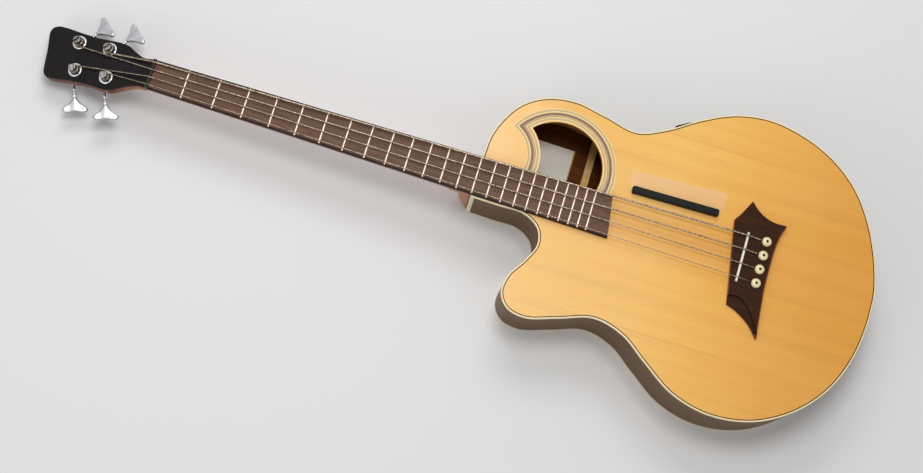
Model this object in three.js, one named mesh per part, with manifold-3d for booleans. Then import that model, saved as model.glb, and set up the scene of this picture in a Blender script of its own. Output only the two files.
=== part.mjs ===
// Four-string acoustic bass guitar, left-handed, with a deep cutaway on its treble side.
// It lies on its flat back with the strings up. Lengths are millimetres, angles are degrees.
// Pieces are drawn in the soundboard's own frame: x runs from the neck to the tail and is zero at
// the nominal saddle line, y points to the bass side, and z is zero at the face of the soundboard.
// The last lines lean that frame so that the tapered body stands flat on its back.
import * as THREE from 'three';
import { mergeVertices } from 'three/addons/utils/BufferGeometryUtils.js';
import Module from 'manifold-3d';

const wasm = await Module();
wasm.setup();

// Scale, strings and the gaps between pieces
const scaleLength = 812.8;
const fretCount = 24;
const fretsPerOctave = 12;
const bodyJointFret = 14;
const nutStringSpacing = 10.6;
const saddleStringSpacing = 19.6;
const saddleSetback = 6.5;
const actionAtOctave = 2.5;
const nutRelief = 0.5;
const glueGap = 0.2;
const runGap = 0.3;
const overrun = 30;
const weld = 0.0001;
const stringNames = ['e', 'a', 'd', 'g'];
const stringGaugeE = 2.6;
const stringGaugeA = 2.1;
const stringGaugeD = 1.65;
const stringGaugeG = 1.2;
const stringGauges = [stringGaugeE, stringGaugeA, stringGaugeD, stringGaugeG];
const stringCount = stringNames.length;

// Body
const bodyLength = 556;
const lowerBoutWidth = 414;
const depthAtNeck = 88;
const depthAtTail = 112;
const cutawayMargin = 2.4;
const topThickness = 3.6;
const backThickness = 3.2;
const sideThickness = 2.6;
const bindingWidth = 2;
const bindingHeight = 6;
const liningWidth = 7;
const liningHeight = 14;
const stepsPerSpan = 2;

// The body's edge as shares of its length, from the neck, and of the lower bout's width
const upperBoutShare = 0.341;
const bassEdgeShares = [
  [0.004, 0.145], [0.022, 0.213], [0.054, 0.277], [0.106, 0.323], [0.178, upperBoutShare],
  [0.257, 0.324],
  [0.34, 0.303], [0.408, 0.341], [0.484, 0.409], [0.563, 0.461], [0.649, 0.48], [0.739, 0.46],
  [0.822, 0.412], [0.892, 0.335], [0.946, 0.227], [0.984, 0.097], [0.998, 0],
];
const trebleEdgeShares = [
  [0.997, -0.09], [0.982, -0.21], [0.945, -0.327], [0.879, -0.429], [0.79, -0.499], [0.685, -0.521],
  [0.588, -0.491], [0.505, -0.419], [0.439, -0.357], [0.365, -0.333], [0.281, -0.368],
  [0.207, -0.397], [0.16, -0.384], [0.136, -0.341], [0.14, -0.281], [0.167, -0.219],
  [0.186, -0.157], [0.175, -0.106],
];
const cutawayStartShare = 0.134;
const cutawayMiddleShare = 0.07;

// Soundhole and rosette: a round hole bitten by a second circle on its neck side
const holeRadius = 61.8;
const holeFromNeckEnd = 98.6;
const holeFromUpperBoutEdge = 95;
const biteRadius = 65.6;
const biteFromHole = 88.5;
const biteTowardTreble = 8.5;
const holeFloor = 22;
const rosetteMargin = 1.2;
const rosetteWidth = 17;
const rosetteThickness = 1.2;
const holeArcSteps = 24;
const biteArcSteps = 7;

// Blocks, braces and label
const neckBlockLength = 58;
const neckBlockWidth = 66;
const tailBlockLength = 26;
const tailBlockWidth = 80;
const braceWidth = 8;
const braceHeight = 13;
const braceEndHeight = 4;
const braceTaper = 38;
const crossFromSaddle = 75;
const crossTowardTreble = 5;
const crossAngle = 42;
const crossNeckBassArmLength = 150;
const crossNeckTrebleArmLength = 180;
const crossTailBassArmLength = 225;
const crossTailTrebleArmLength = 235;
const boardBraceWidth = 34;
const boardBraceHeight = 9;
const boardBraceLength = 112;
const bridgePlateLength = 48;
const bridgePlateWidth = 94;
const bridgePlateThickness = 3;
const bridgePlateSetback = 4;
const backBraceShares = [0.262, 0.54, 0.8];
const backBraceWidth = 10;
const labelLength = 62;
const labelWidth = 74;
const labelThickness = 0.3;
const labelCorner = 0.3;
const labelBeforeHole = 38.5;
const labelFromHoleFloor = 42;

// Fingerboard, frets and nut
const boardThickness = 6.2;
const boardHalfWidthAtNut = 20.5;
const boardHalfWidthAtEnd = 29.3;
const boardOverhang = 26;
const boardCrownRadius = 420;
const boardCrownSteps = 3;
const fretWidth = 2.4;
const fretHeight = 1;
const fretInset = 0.4;
const fretTang = 0.6;
const nutLength = 5;
const nutRise = 1.9;
const nutSlotPlay = 0.25;

// Neck
const neckDepthAtNut = 15.5;
const neckDepthAtHeel = 18;
const neckSectionSteps = 10;
const neckFullnessShare = 0.78;
const heelReach = 22;
const heelFillet = 12;
const heelNoseSteps = 8;
const heelFloorGap = 3;
const heelTopHalfWidth = 27;
const heelFootHalfWidth = 26;
const heelLevelShares = [
  [0, 1, 1], [0.8, 1, 1], [1.15, 0.42, 1], [1.6, 0.06, 0.99],
];
const heelFootShares = [
  [0.45, 0.98, 0.96], [0.65, 0.84, 0.98], [0.82, 0.6, 1], [0.94, 0.34, 1], [1, 0.14, 0.98],
];
const neckTailLength = 14;
const neckTailDrop = 4;

// Headstock
const headTilt = 14;
const headFaceRise = 2.1;
const headThickness = 14;
const veneerThickness = 2;
const headLength = 157;
const headHalfWidth = 37;
const headBassEdgeShares = [
  [0.09, 0.53], [0.17, 0.66], [0.25, 0.83], [0.33, 0.885], [0.54, 0.87], [0.7, 0.91], [0.88, 0.98],
  [0.945, 0.96], [0.985, 0.86], [1, 0.68],
];
const headEndShares = [[0.985, 0.36], [0.965, 0], [0.945, -0.5], [0.925, -0.86]];
const headTrebleEdgeShares = [
  [0.89, -1], [0.8, -1.0], [0.64, -0.94], [0.5, -0.93], [0.37, -0.97], [0.29, -0.94],
  [0.22, -0.8], [0.15, -0.66], [0.06, -0.55],
];
const coverLength = 67;
const coverHalfWidthAtNut = 10;
const coverHalfWidth = 12.5;
const coverShoulderShare = 0.66;
const coverThickness = 1.8;
const rodRadius = 2.9;
const rodDepth = 4.6;
const rodNutRadius = 3.3;
const rodNutLength = 9;
const rodReach = 15;
const rodChannelHalfWidth = 4.2;
const rodChannelDepth = 8.2;
const rodPocketLength = 36;
const rodInset = 12;
const rodFacets = 6;

// Tuners, drawn on the headstock's face, with the worm on the end side of each post
const postRowHalfSpacing = 19.3;
const bassPostNear = 63.9;
const bassPostFar = 109.4;
const treblePostNear = 55.4;
const treblePostFar = 101.6;
const bassKeySplay = 41;
const trebleKeySplay = 22;
const bassKeyReach = 22.7;
const trebleKeyReach = 29.2;
const bassKeyTilt = 0;
const trebleKeyTilt = -20;
const postRadius = 5.1;
const postWaistRadius = 4.3;
const postShaftRadius = 3.6;
const postRise = 18.6;
const postCollarRise = 4;
const postCapHeight = 3.4;
const postEase = 0.7;
const postSlotWidth = 2.6;
const postFacets = 14;
const bushingRadius = 9.8;
const bushingThickness = 2.5;
const bushingChamfer = 0.9;
const bushingSleeveRadius = 7;
const bushingSleeveLength = 9;
const plateThickness = 1.5;
const plateBack = 10;
const plateFront = 11.5;
const plateMargin = 5.5;
const plateCorner = 2.5;
const plateBossRadius = 5.4;
const plateCornerSteps = 2;
const wheelTeeth = 16;
const wheelPitchRadius = 7.2;
const wheelThickness = 3;
const wheelTipHeight = 0.65;
const wheelRootDepth = 0.85;
const toothTipWidth = 0.7;
const toothRootWidth = 1.2;
const wormPitchRadius = 3;
const wormCoreRadius = 1.95;
const wormTipRadius = 3.6;
const wormTipWidth = 0.6;
const wormRootWidth = 1.15;
const wormTurns = 2;
const wormStepsPerTurn = 10;
const earThickness = 2.6;
const earOffset = 7;
const earHalfWidth = 4.4;
const earDrop = 4;
const keyShaftRadius = 2.2;
const keyShaftTail = 1.6;
const keyCollarRadius = 3.3;
const keyCollarLength = 2;
const keyBarrelRadius = 2.9;
const keyBarrelLength = 7;
const keyLength = 20.5;
const keyHalfWidth = 16;
const keyThickness = 6.4;
const keyBevel = 1.6;
const keyFacets = 10;
const keyEdgeShares = [
  [0, 0.15], [0.2, 0.22], [0.42, 0.4], [0.6, 0.66], [0.72, 0.87], [0.84, 1], [0.96, 0.95],
  [1, 0.72], [0.93, 0.3],
];

// Strings
const windingTurnsE = 1.5;
const windingTurnsA = 1.75;
const windingTurnsD = 2;
const windingTurnsG = 2.25;
const windingTurns = [windingTurnsE, windingTurnsA, windingTurnsD, windingTurnsG];
const windingClearance = 0.45;
const windingStepsPerTurn = 20;
const windingRise = 1;
const stringSides = 6;
const ballRadius = 3;
const ballRadiusShares = [0.35, 0.85, 1, 0.85, 0.5];
const stringBend = 1.6;

// Bridge
const bridgeThickness = 8;
const bridgeLength = 72;
const bridgeHalfWidth = 101;
const bridgeFromSaddle = 17;
const bridgeEdgeShares = [
  [0.264, 0.782], [0.44, 0.663], [0.68, 0.589], [0.986, 0.579], [0.92, 0.42], [0.885, 0.25],
  [0.875, 0], [0.875, -0.28], [0.9, -0.52], [0.96, -1], [0.75, -0.836], [0.475, -0.713],
  [0.28, -0.663], [0, 0.422],
];
const bridgeLedgeThickness = 4;
const bridgeLedgeShares = [
  [0.2, -0.55], [0.31, -0.53], [0.41, -0.519], [0.5, -0.54], [0.57, -0.569], [0.7, -0.658],
  [0.8, -0.752], [0.93, -0.93], [0.75, -1.1], [0.2, -1.1],
];
const bridgeTipThickness = 4.5;
const bridgeTipStartShare = 0.56;
const saddleLength = 70;
const saddleThickness = 3;
const saddleSlotDepth = 5;
const piezoThickness = 1.2;
const pinSetback = 32.7;
const pinHeadRadius = 5.2;
const pinHeadHeight = 3.6;
const pinCollarHeight = 1.1;
const pinShankRadius = 4;
const pinTipRadius = 3.2;
const pinLength = 22;
const pinFacets = 12;
const pinHoleFacets = 12;
const notchEase = 1.4;

// Thumb rest and the clear film beside it
const thumbRestLength = 120;
const thumbRestWidth = 9.7;
const thumbRestHeight = 8;
const thumbRestBevel = 1.4;
const thumbRestFromSaddle = 98.2;
const thumbRestTowardBass = 47.2;
const thumbRestAngle = 1.5;
const filmThickness = 0.3;
const filmOverhang = 6;
const filmWidthAtNeck = 21.5;
const filmWidthAtTail = 26;
const filmCorner = 3;

// Preamp in the bass side, its knobs, battery and door
const preampFromSaddle = 91;
const preampLength = 66;
const preampHeight = 46;
const preampDrop = 11;
const preampFlange = 1;
const preampTurn = -1;
const preampFlangeMargin = 3.5;
const preampDepth = 27;
const preampCorner = 4;
const preampWall = 2;
const preampSampleShares = [-1, -0.75, -0.5, -0.25, 0, 0.25, 0.5, 0.75, 1];
const knobCount = 3;
const knobNames = ['volume', 'bass', 'treble'];
const knobRadius = 5.6;
const knobHeight = 2.6;
const knobSpacing = 17;
const knobFromTop = 9.5;
const knobRecess = 1.2;
const knobShaftRadius = 2;
const knobShaftLength = 6;
const knobChamfer = 0.8;
const knobPointerWidth = 1;
const knobPointerDepth = 0.6;
const knobFacets = 14;
const batteryLength = 48.5;
const batteryHeight = 17.5;
const batteryDepth = 20;
const batteryPlay = 0.5;
const batteryFromTop = 31;
const doorThickness = 2;
const doorMargin = 2;
const doorLipHeight = 3;
const doorLatchWidth = 12;

// End-pin jack in the tail
const jackHeadRadius = 9;
const jackHeadHeight = 9;
const jackNeckRadius = 6;
const jackFlangeRadius = 9;
const jackFlangeThickness = 2;
const jackBarrelRadius = 5.9;
const jackBarrelLength = 30;
const jackBoreRadius = 3.2;
const jackBoreDepth = 32;
const jackFacets = 14;

const degree = Math.PI / 180;
const halfTurn = Math.PI;
const fullTurn = 2 * Math.PI;
const fretX = (fret) => -scaleLength / 2 ** (fret / fretsPerOctave);
const nutX = fretX(0);
const neckEndX = fretX(bodyJointFret);
const tailX = neckEndX + bodyLength;
const boardEndX = fretX(fretCount) + boardOverhang;
const backSlope = (depthAtTail - depthAtNeck) / bodyLength;
const backZ = (x) => -depthAtNeck - backSlope * (x - neckEndX);
const boardHalfWidth = (x) => boardHalfWidthAtNut
  + (boardHalfWidthAtEnd - boardHalfWidthAtNut) * (x - nutX) / (boardEndX - nutX);
const boardTop = boardThickness + glueGap;
const stringIndexFromCentre = (index) => (stringCount - 1) / 2 - index;
const nutStringY = (index) => stringIndexFromCentre(index) * nutStringSpacing;
const saddleStringY = (index) => stringIndexFromCentre(index) * saddleStringSpacing;
const stringFloorAtNut = boardTop + fretHeight + nutRelief;
const stringFloorAtSaddle = stringFloorAtNut
  + (actionAtOctave - nutRelief) * (saddleSetback - nutX) / (fretX(fretsPerOctave) - nutX);

// Solids and their joins

function solidOf(geometry) {
  const bare = geometry.clone();
  bare.deleteAttribute('normal');
  bare.deleteAttribute('uv');
  const merged = mergeVertices(bare, weld);
  const vertProperties = new Float32Array(merged.attributes.position.array);
  const triVerts = new Uint32Array(merged.index.array);
  return new wasm.Manifold(new wasm.Mesh({ numProp: 3, vertProperties, triVerts }));
}

function geometryOf(solid) {
  const mesh = solid.getMesh();
  const geometry = new THREE.BufferGeometry();
  geometry.setAttribute('position', new THREE.BufferAttribute(mesh.vertProperties, 3));
  geometry.setIndex(new THREE.BufferAttribute(mesh.triVerts, 1));
  return geometry;
}

function joined(parts) {
  return parts.map(solidOf).reduce((sum, part) => sum.add(part));
}

function cut(solid, tools) {
  return tools.map(solidOf).reduce((rest, tool) => rest.subtract(tool), solid);
}

function shapeOf(points, holes = []) {
  const shape = new THREE.Shape(points.map(([x, y]) => new THREE.Vector2(x, y)));
  shape.holes = holes.map((hole) => new THREE.Path(hole.map(([x, y]) => new THREE.Vector2(x, y))));
  return shape;
}

function plate(points, low, high, holes = []) {
  const geometry = new THREE.ExtrudeGeometry(shapeOf(points, holes), {
    depth: high - low,
    bevelEnabled: false,
  });
  return geometry.translate(0, 0, low);
}

function box(x0, x1, y0, y1, z0, z1) {
  const geometry = new THREE.BoxGeometry(x1 - x0, y1 - y0, z1 - z0);
  return geometry.translate((x0 + x1) / 2, (y0 + y1) / 2, (z0 + z1) / 2);
}

function roundBar(radius, low, high, facets) {
  const geometry = new THREE.CylinderGeometry(radius, radius, high - low, facets);
  return geometry.rotateX(halfTurn / 2).translate(0, 0, (low + high) / 2);
}

function lathe(profile, facets) {
  const points = profile.map(([radius, z]) => new THREE.Vector2(radius, z));
  return new THREE.LatheGeometry(points, facets).rotateX(halfTurn / 2);
}

// A plan outline raised along y or x instead of z

function profileAlongX(points, x0, x1) {
  const geometry = plate(points, 0, x1 - x0);
  const turn = new THREE.Matrix4().makeBasis(
    new THREE.Vector3(0, 1, 0),
    new THREE.Vector3(0, 0, 1),
    new THREE.Vector3(1, 0, 0),
  );
  return geometry.applyMatrix4(turn).translate(x0, 0, 0);
}

function roundedRectangle(x0, x1, y0, y1, radius, steps) {
  const corners = [[x1, y1], [x0, y1], [x0, y0], [x1, y0]];
  const points = [];
  corners.forEach(([x, y], quarter) => {
    const centreX = x === x1 ? x1 - radius : x0 + radius;
    const centreY = y === y1 ? y1 - radius : y0 + radius;
    for (let step = 0; step <= steps; step += 1) {
      const angle = (quarter + step / steps) * halfTurn / 2;
      points.push([centreX + radius * Math.cos(angle), centreY + radius * Math.sin(angle)]);
    }
  });
  return points;
}

function smoothLine(points, steps) {
  const curve = new THREE.CatmullRomCurve3(
    points.map(([x, y]) => new THREE.Vector3(x, y, 0)),
    false,
    'centripetal',
  );
  return curve.getPoints((points.length - 1) * steps).map((point) => [point.x, point.y]);
}

function arc(centre, radius, start, end, steps) {
  const points = [];
  for (let step = 0; step <= steps; step += 1) {
    const angle = start + (end - start) * step / steps;
    points.push([centre[0] + radius * Math.cos(angle), centre[1] + radius * Math.sin(angle)]);
  }
  return points;
}

// Rings of points, all of one count and counter-clockwise seen from the far end, skinned and capped

function loft(rings) {
  const count = rings[0].length;
  const positions = rings.flat().flat();
  const index = [];
  for (let ring = 0; ring < rings.length - 1; ring += 1) {
    for (let side = 0; side < count; side += 1) {
      const next = (side + 1) % count;
      const a = ring * count + side;
      const b = ring * count + next;
      index.push(a, b, b + count, a, b + count, a + count);
    }
  }
  const last = (rings.length - 1) * count;
  for (let side = 1; side < count - 1; side += 1) {
    index.push(0, side + 1, side);
    index.push(last, last + side, last + side + 1);
  }
  const geometry = new THREE.BufferGeometry();
  geometry.setAttribute('position', new THREE.Float32BufferAttribute(positions, 3));
  geometry.setIndex(index);
  return geometry;
}

// The edge of the body, counter-clockwise from the middle of its neck end

function bodyPoint([lengthShare, widthShare]) {
  return [neckEndX + lengthShare * bodyLength, widthShare * lowerBoutWidth];
}

function bodyEdge() {
  const sideY = (x) => -boardHalfWidth(x) - cutawayMargin;
  const startX = neckEndX + cutawayStartShare * bodyLength;
  const middleX = neckEndX + cutawayMiddleShare * bodyLength;
  const bassCorner = [neckEndX, -sideY(neckEndX)];
  const trebleRun = [
    [startX, sideY(startX)],
    [middleX, sideY(middleX)],
    [neckEndX, sideY(neckEndX)],
  ];
  const line = [bassCorner, ...bassEdgeShares.map(bodyPoint), ...trebleEdgeShares.map(bodyPoint),
    ...trebleRun];
  return [[neckEndX, 0], ...smoothLine(line, stepsPerSpan)].reverse();
}

// The edge drawn in by a distance, each side kept parallel

function inset(points, distance) {
  const count = points.length;
  return points.map((point, index) => {
    const before = points[(index + count - 1) % count];
    const after = points[(index + 1) % count];
    const first = new THREE.Vector2(point[0] - before[0], point[1] - before[1]).normalize();
    const second = new THREE.Vector2(after[0] - point[0], after[1] - point[1]).normalize();
    const firstNormal = new THREE.Vector2(-first.y, first.x);
    const secondNormal = new THREE.Vector2(-second.y, second.x);
    const reach = distance / (1 + firstNormal.dot(secondNormal));
    return [
      point[0] + (firstNormal.x + secondNormal.x) * reach,
      point[1] + (firstNormal.y + secondNormal.y) * reach,
    ];
  });
}

const edge = bodyEdge();
const plateEdge = inset(edge, bindingWidth + glueGap);

// Where an inset edge crosses a line of constant x: its lowest and highest y

function crossing(points, x) {
  const found = [];
  points.forEach((point, index) => {
    const next = points[(index + 1) % points.length];
    if ((point[0] - x) * (next[0] - x) < 0) {
      found.push(point[1] + (next[1] - point[1]) * (x - point[0]) / (next[0] - point[0]));
    }
  });
  return [Math.min(...found), Math.max(...found)];
}

function ring(outer, inner, low, high) {
  return plate(inset(edge, outer), low, high, [inset(edge, inner)]);
}

// Moves the lower or upper face of an upright solid to a height above the sloped back

function followBack(geometry, face, height) {
  const position = geometry.attributes.position;
  for (let index = 0; index < position.count; index += 1) {
    if (Math.abs(position.getZ(index) - face) < weld) {
      position.setZ(index, backZ(position.getX(index)) + height);
    }
  }
  return geometry;
}

// Soundhole outlines

const holeCentre = [
  neckEndX + holeFromNeckEnd,
  upperBoutShare * lowerBoutWidth - holeFromUpperBoutEdge,
];
const biteCentre = [holeCentre[0] - biteFromHole, holeCentre[1] - biteTowardTreble];

function circlesMeet(first, firstRadius, second, secondRadius) {
  const dx = second[0] - first[0];
  const dy = second[1] - first[1];
  const distance = Math.hypot(dx, dy);
  const along = (distance ** 2 + firstRadius ** 2 - secondRadius ** 2) / (2 * distance);
  const across = Math.sqrt(firstRadius ** 2 - along ** 2);
  return [
    first[0] + (along * dx + across * dy) / distance,
    first[1] + (along * dy - across * dx) / distance,
  ];
}

const angleTo = (centre, point) => Math.atan2(point[1] - centre[1], point[0] - centre[0]);

// From the fingerboard up the round side, over to the sharp corner and down the bitten side

function holeLine(growth, floor) {
  const radius = holeRadius + growth;
  const bite = biteRadius - growth;
  const corner = circlesMeet(holeCentre, radius, biteCentre, bite);
  const start = Math.asin((floor - holeCentre[1]) / radius);
  const roundSide = arc(holeCentre, radius, start, angleTo(holeCentre, corner), holeArcSteps);
  const biteEnd = Math.asin((floor - biteCentre[1]) / bite);
  const bittenSide = arc(biteCentre, bite, angleTo(biteCentre, corner), biteEnd, biteArcSteps);
  return [...roundSide, ...bittenSide.slice(1)];
}

function rosetteOutline(play) {
  const outer = holeLine(rosetteMargin + rosetteWidth + play, holeFloor - play);
  const inner = holeLine(rosetteMargin - play, holeFloor - play);
  return [...outer, ...inner.reverse()];
}

// Material colours, roughness and metalness

const finishes = {
  spruce: [0xe3b05c, 0.35, 0],
  sideWood: [0x6a5138, 0.5, 0],
  cream: [0xeadfb8, 0.4, 0],
  rosetteWood: [0x9a8a72, 0.45, 0],
  innerWood: [0xc7a878, 0.8, 0],
  paper: [0xe8e6dc, 0.9, 0],
  rosewood: [0x3c2519, 0.55, 0],
  neckWood: [0x7a4330, 0.4, 0],
  blackLacquer: [0x161616, 0.25, 0],
  blackPlastic: [0x1c1c1c, 0.45, 0],
  bone: [0xefe6cf, 0.4, 0],
  chrome: [0xd8d8d8, 0.15, 1],
  steel: [0xa8a8a8, 0.3, 1],
  film: [0xf0c98a, 0.2, 0],
  copper: [0xb87a50, 0.35, 1],
};

const instrument = new THREE.Group();

function addPiece(name, shape, finish, parent = instrument) {
  const geometry = shape.isBufferGeometry ? shape : geometryOf(shape);
  const [color, roughness, metalness] = finishes[finish];
  const material = new THREE.MeshStandardMaterial({ color, roughness, metalness });
  const mesh = new THREE.Mesh(geometry, material);
  mesh.name = name;
  parent.add(mesh);
  return mesh;
}

// Pin holes and the notches through which the strings drop beside the pins

const pinNotchX = (index) => pinSetback - pinHeadRadius - runGap - stringGauges[index] / 2;

function pinCuts() {
  const tools = [];
  for (let index = 0; index < stringCount; index += 1) {
    const y = saddleStringY(index);
    const half = stringGauges[index] / 2 + runGap;
    const hole = roundBar(pinShankRadius + runGap, -overrun, overrun, pinHoleFacets);
    tools.push(hole.translate(pinSetback, y, 0));
    const front = pinNotchX(index) - stringGauges[index] / 2 - notchEase;
    tools.push(box(front, pinSetback, y - half, y + half, -overrun, overrun));
  }
  return tools;
}

// Plates, sides and bindings

function addBody() {
  const soundboard = solidOf(plate(plateEdge, -topThickness, 0, [holeLine(0, holeFloor)]));
  const recess = plate(rosetteOutline(glueGap), -rosetteThickness - glueGap, overrun);
  addPiece('soundboard', cut(soundboard, [recess, ...pinCuts()]), 'spruce');
  addPiece('rosette', plate(rosetteOutline(0), -rosetteThickness, 0), 'rosetteWood');

  const back = plate(plateEdge, 0, backThickness);
  followBack(back, backThickness, backThickness);
  addPiece('back_plate', followBack(back, 0, 0), 'sideWood');
  addPiece('top_binding', ring(0, bindingWidth, -bindingHeight, 0), 'cream');
  const backBinding = ring(0, bindingWidth, 0, bindingHeight);
  followBack(backBinding, bindingHeight, bindingHeight);
  addPiece('back_binding', followBack(backBinding, 0, 0), 'cream');

  const sideTop = -bindingHeight - glueGap;
  const sides = ring(0, sideThickness, sideTop - overrun, sideTop);
  followBack(sides, sideTop - overrun, bindingHeight + glueGap);
  const span = bodyLength + overrun;
  const seam = glueGap / 2;
  const bassHalf = box(-span, span, -span, seam, -span, span);
  const trebleHalf = box(-span, span, -seam, span, -span, span);
  const bassTools = [bassHalf, preampCut(), jackCut()];
  addPiece('side_bass', cut(solidOf(sides), bassTools), 'sideWood');
  addPiece('side_treble', cut(solidOf(sides), [trebleHalf, jackCut()]), 'sideWood');
}

// Linings glued inside the sides, and the blocks notched round them

const liningTop = -topThickness - glueGap;
const liningOuter = sideThickness + glueGap;
const liningFoot = backThickness + glueGap;

function liningRing(play) {
  const outer = play > 0 ? 0 : liningOuter;
  const top = ring(outer, liningOuter + liningWidth + play, liningTop - liningHeight - play,
    liningTop + play);
  const low = ring(outer, liningOuter + liningWidth + play, 0, liningHeight);
  followBack(low, liningHeight, liningFoot + liningHeight + play);
  followBack(low, 0, liningFoot - play);
  return [top, low];
}

function within(solid, distance) {
  return solid.intersect(solidOf(plate(inset(edge, distance), -bodyLength, bodyLength)));
}

// A block that fills the space between the plates and follows the sides, clear of the linings

function cornerBlock(x0, x1, halfWidth) {
  const block = box(x0, x1, -halfWidth, halfWidth, liningTop - overrun, liningTop);
  followBack(block, liningTop - overrun, liningFoot);
  return cut(within(solidOf(block), liningOuter), liningRing(runGap));
}

const jackCut = () => {
  const bore = roundBar(jackBarrelRadius + runGap, -overrun, overrun, jackFacets);
  return bore.rotateY(halfTurn / 2).translate(tailX, 0, backZ(tailX) / 2);
};

function addFrame() {
  const [topLining, backLining] = liningRing(0);
  addPiece('top_lining', cut(solidOf(topLining), [preampCut()]), 'innerWood');
  addPiece('back_lining', backLining, 'innerWood');
  const neckBlock = cornerBlock(neckEndX, neckEndX + neckBlockLength, neckBlockWidth / 2);
  addPiece('neck_block', neckBlock, 'innerWood');
  const tailBlock = cornerBlock(tailX - tailBlockLength, tailX, tailBlockWidth / 2);
  addPiece('tail_block', cut(tailBlock, [jackCut()]), 'innerWood');
}

// Braces: bars whose ends are scalloped down to their glued face

function braceProfile(low, high, face, away) {
  const tip = face + away * braceEndHeight;
  const crest = face + away * braceHeight;
  const points = [
    [low, face], [high, face], [high, tip], [high - braceTaper, crest], [low + braceTaper, crest],
    [low, tip],
  ];
  return away < 0 ? points.reverse() : points;
}

function crossBar(angle, neckArm, tailArm) {
  const bar = profileAlongX(braceProfile(-neckArm, tailArm, liningTop, -1), 0, braceWidth);
  bar.translate(-braceWidth / 2, 0, 0);
  bar.rotateZ(angle - halfTurn / 2);
  return bar.translate(-crossFromSaddle, -crossTowardTreble, 0);
}

function addBraces() {
  const angle = crossAngle * degree;
  const bars = [
    crossBar(angle, crossNeckTrebleArmLength, crossTailBassArmLength),
    crossBar(-angle, crossNeckBassArmLength, crossTailTrebleArmLength),
  ];
  const innerReach = liningOuter + liningWidth + runGap;
  addPiece('cross_brace', within(joined(bars), innerReach), 'innerWood');
  const braceX = neckEndX + neckBlockLength + runGap;
  addPiece('fingerboard_brace', box(
    braceX,
    braceX + boardBraceLength,
    -boardBraceWidth / 2,
    boardBraceWidth / 2,
    liningTop - boardBraceHeight,
    liningTop,
  ), 'innerWood');
  const plateX = bridgePlateSetback;
  const bridgePlate = box(
    plateX,
    plateX + bridgePlateLength,
    -bridgePlateWidth / 2,
    bridgePlateWidth / 2,
    liningTop - bridgePlateThickness,
    liningTop,
  );
  addPiece('bridge_plate', cut(solidOf(bridgePlate), pinCuts()), 'innerWood');
  const innerEdge = inset(edge, innerReach);
  backBraceShares.forEach((share, index) => {
    const x = neckEndX + share * bodyLength;
    const half = backBraceWidth / 2;
    const reaches = [crossing(innerEdge, x - half), crossing(innerEdge, x + half)];
    const low = Math.max(reaches[0][0], reaches[1][0]);
    const high = Math.min(reaches[0][1], reaches[1][1]);
    const face = Math.max(backZ(x - half), backZ(x + half)) + liningFoot;
    const bar = profileAlongX(braceProfile(low, high, face, 1), x - half, x + half);
    addPiece(`back_brace_${index + 1}`, within(solidOf(bar), innerReach), 'innerWood');
  });
  const labelX = holeCentre[0] - labelBeforeHole;
  const labelY = holeFloor + labelFromHoleFloor;
  const label = roundedRectangle(labelX, labelX + labelLength, labelY - labelWidth / 2,
    labelY + labelWidth / 2, labelCorner, 1);
  const paper = plate(label, 0, labelThickness);
  followBack(paper, labelThickness, liningFoot + labelThickness);
  addPiece('paper_label', followBack(paper, 0, liningFoot), 'paper');
}

// Fingerboard with its frets, and the nut

function crownZ(y) {
  return boardTop - boardCrownRadius + Math.sqrt(boardCrownRadius ** 2 - y ** 2);
}

function boardRing(x) {
  const half = boardHalfWidth(x);
  const points = [[x, -half, glueGap], [x, half, glueGap]];
  for (let step = 0; step <= boardCrownSteps; step += 1) {
    const y = half - 2 * half * step / boardCrownSteps;
    points.push([x, y, crownZ(y)]);
  }
  return points;
}

function fretBar(fret) {
  const x = fretX(fret);
  const half = boardHalfWidth(x) - fretInset;
  const points = [[-half, crownZ(half) - fretTang], [half, crownZ(half) - fretTang]];
  for (let step = 0; step <= boardCrownSteps; step += 1) {
    const y = half - 2 * half * step / boardCrownSteps;
    points.push([y, crownZ(y) + fretHeight]);
  }
  return profileAlongX(points, x - fretWidth / 2, x + fretWidth / 2);
}

function addFingerboard() {
  const parts = [loft([boardRing(nutX), boardRing(boardEndX)])];
  for (let fret = 1; fret <= fretCount; fret += 1) {
    parts.push(fretBar(fret));
  }
  addPiece('fingerboard', joined(parts), 'rosewood');

  const nutBack = nutX - nutLength;
  const nutTop = stringFloorAtNut + nutRise;
  const nutBlock = solidOf(box(nutBack, nutX - glueGap, -boardHalfWidthAtNut, boardHalfWidthAtNut,
    glueGap, nutTop));
  const slots = stringGauges.map((gauge, index) => {
    const half = gauge / 2 + nutSlotPlay;
    const y = nutStringY(index);
    return box(nutBack - overrun, nutX + overrun, y - half, y + half,
      stringFloorAtNut - nutSlotPlay, nutTop + overrun);
  });
  addPiece('nut', cut(nutBlock, slots), 'blackPlastic');
}

// Neck: shaft, heel and headstock in one piece of wood

const headX = nutX - nutLength - glueGap;
const headMatrix = new THREE.Matrix4()
  .makeTranslation(headX, 0, headFaceRise)
  .multiply(new THREE.Matrix4().makeRotationY(-headTilt * degree));

function shaftRing(x, depth, top, half) {
  const points = [];
  for (let step = 0; step <= neckSectionSteps; step += 1) {
    const angle = halfTurn * step / neckSectionSteps;
    const y = half * Math.cos(angle);
    const drop = step === 0 || step === neckSectionSteps
      ? 0
      : Math.sin(angle) ** neckFullnessShare;
    points.push([x, y, top - (depth + top) * drop]);
  }
  return points.reverse();
}

function heelRing(z, reach, half) {
  const bodySide = neckEndX - glueGap;
  const points = [];
  for (let step = 0; step <= heelNoseSteps; step += 1) {
    const angle = halfTurn / 2 + halfTurn * step / heelNoseSteps;
    const noseX = Math.cos(angle);
    const noseY = Math.sin(angle);
    points.push([
      bodySide + reach * Math.sign(noseX) * Math.abs(noseX) ** neckFullnessShare
        * (Math.abs(noseX) > weld ? 1 : 0),
      half * Math.sign(noseY) * Math.abs(noseY) ** neckFullnessShare,
      z,
    ]);
  }
  return points.reverse();
}

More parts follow.
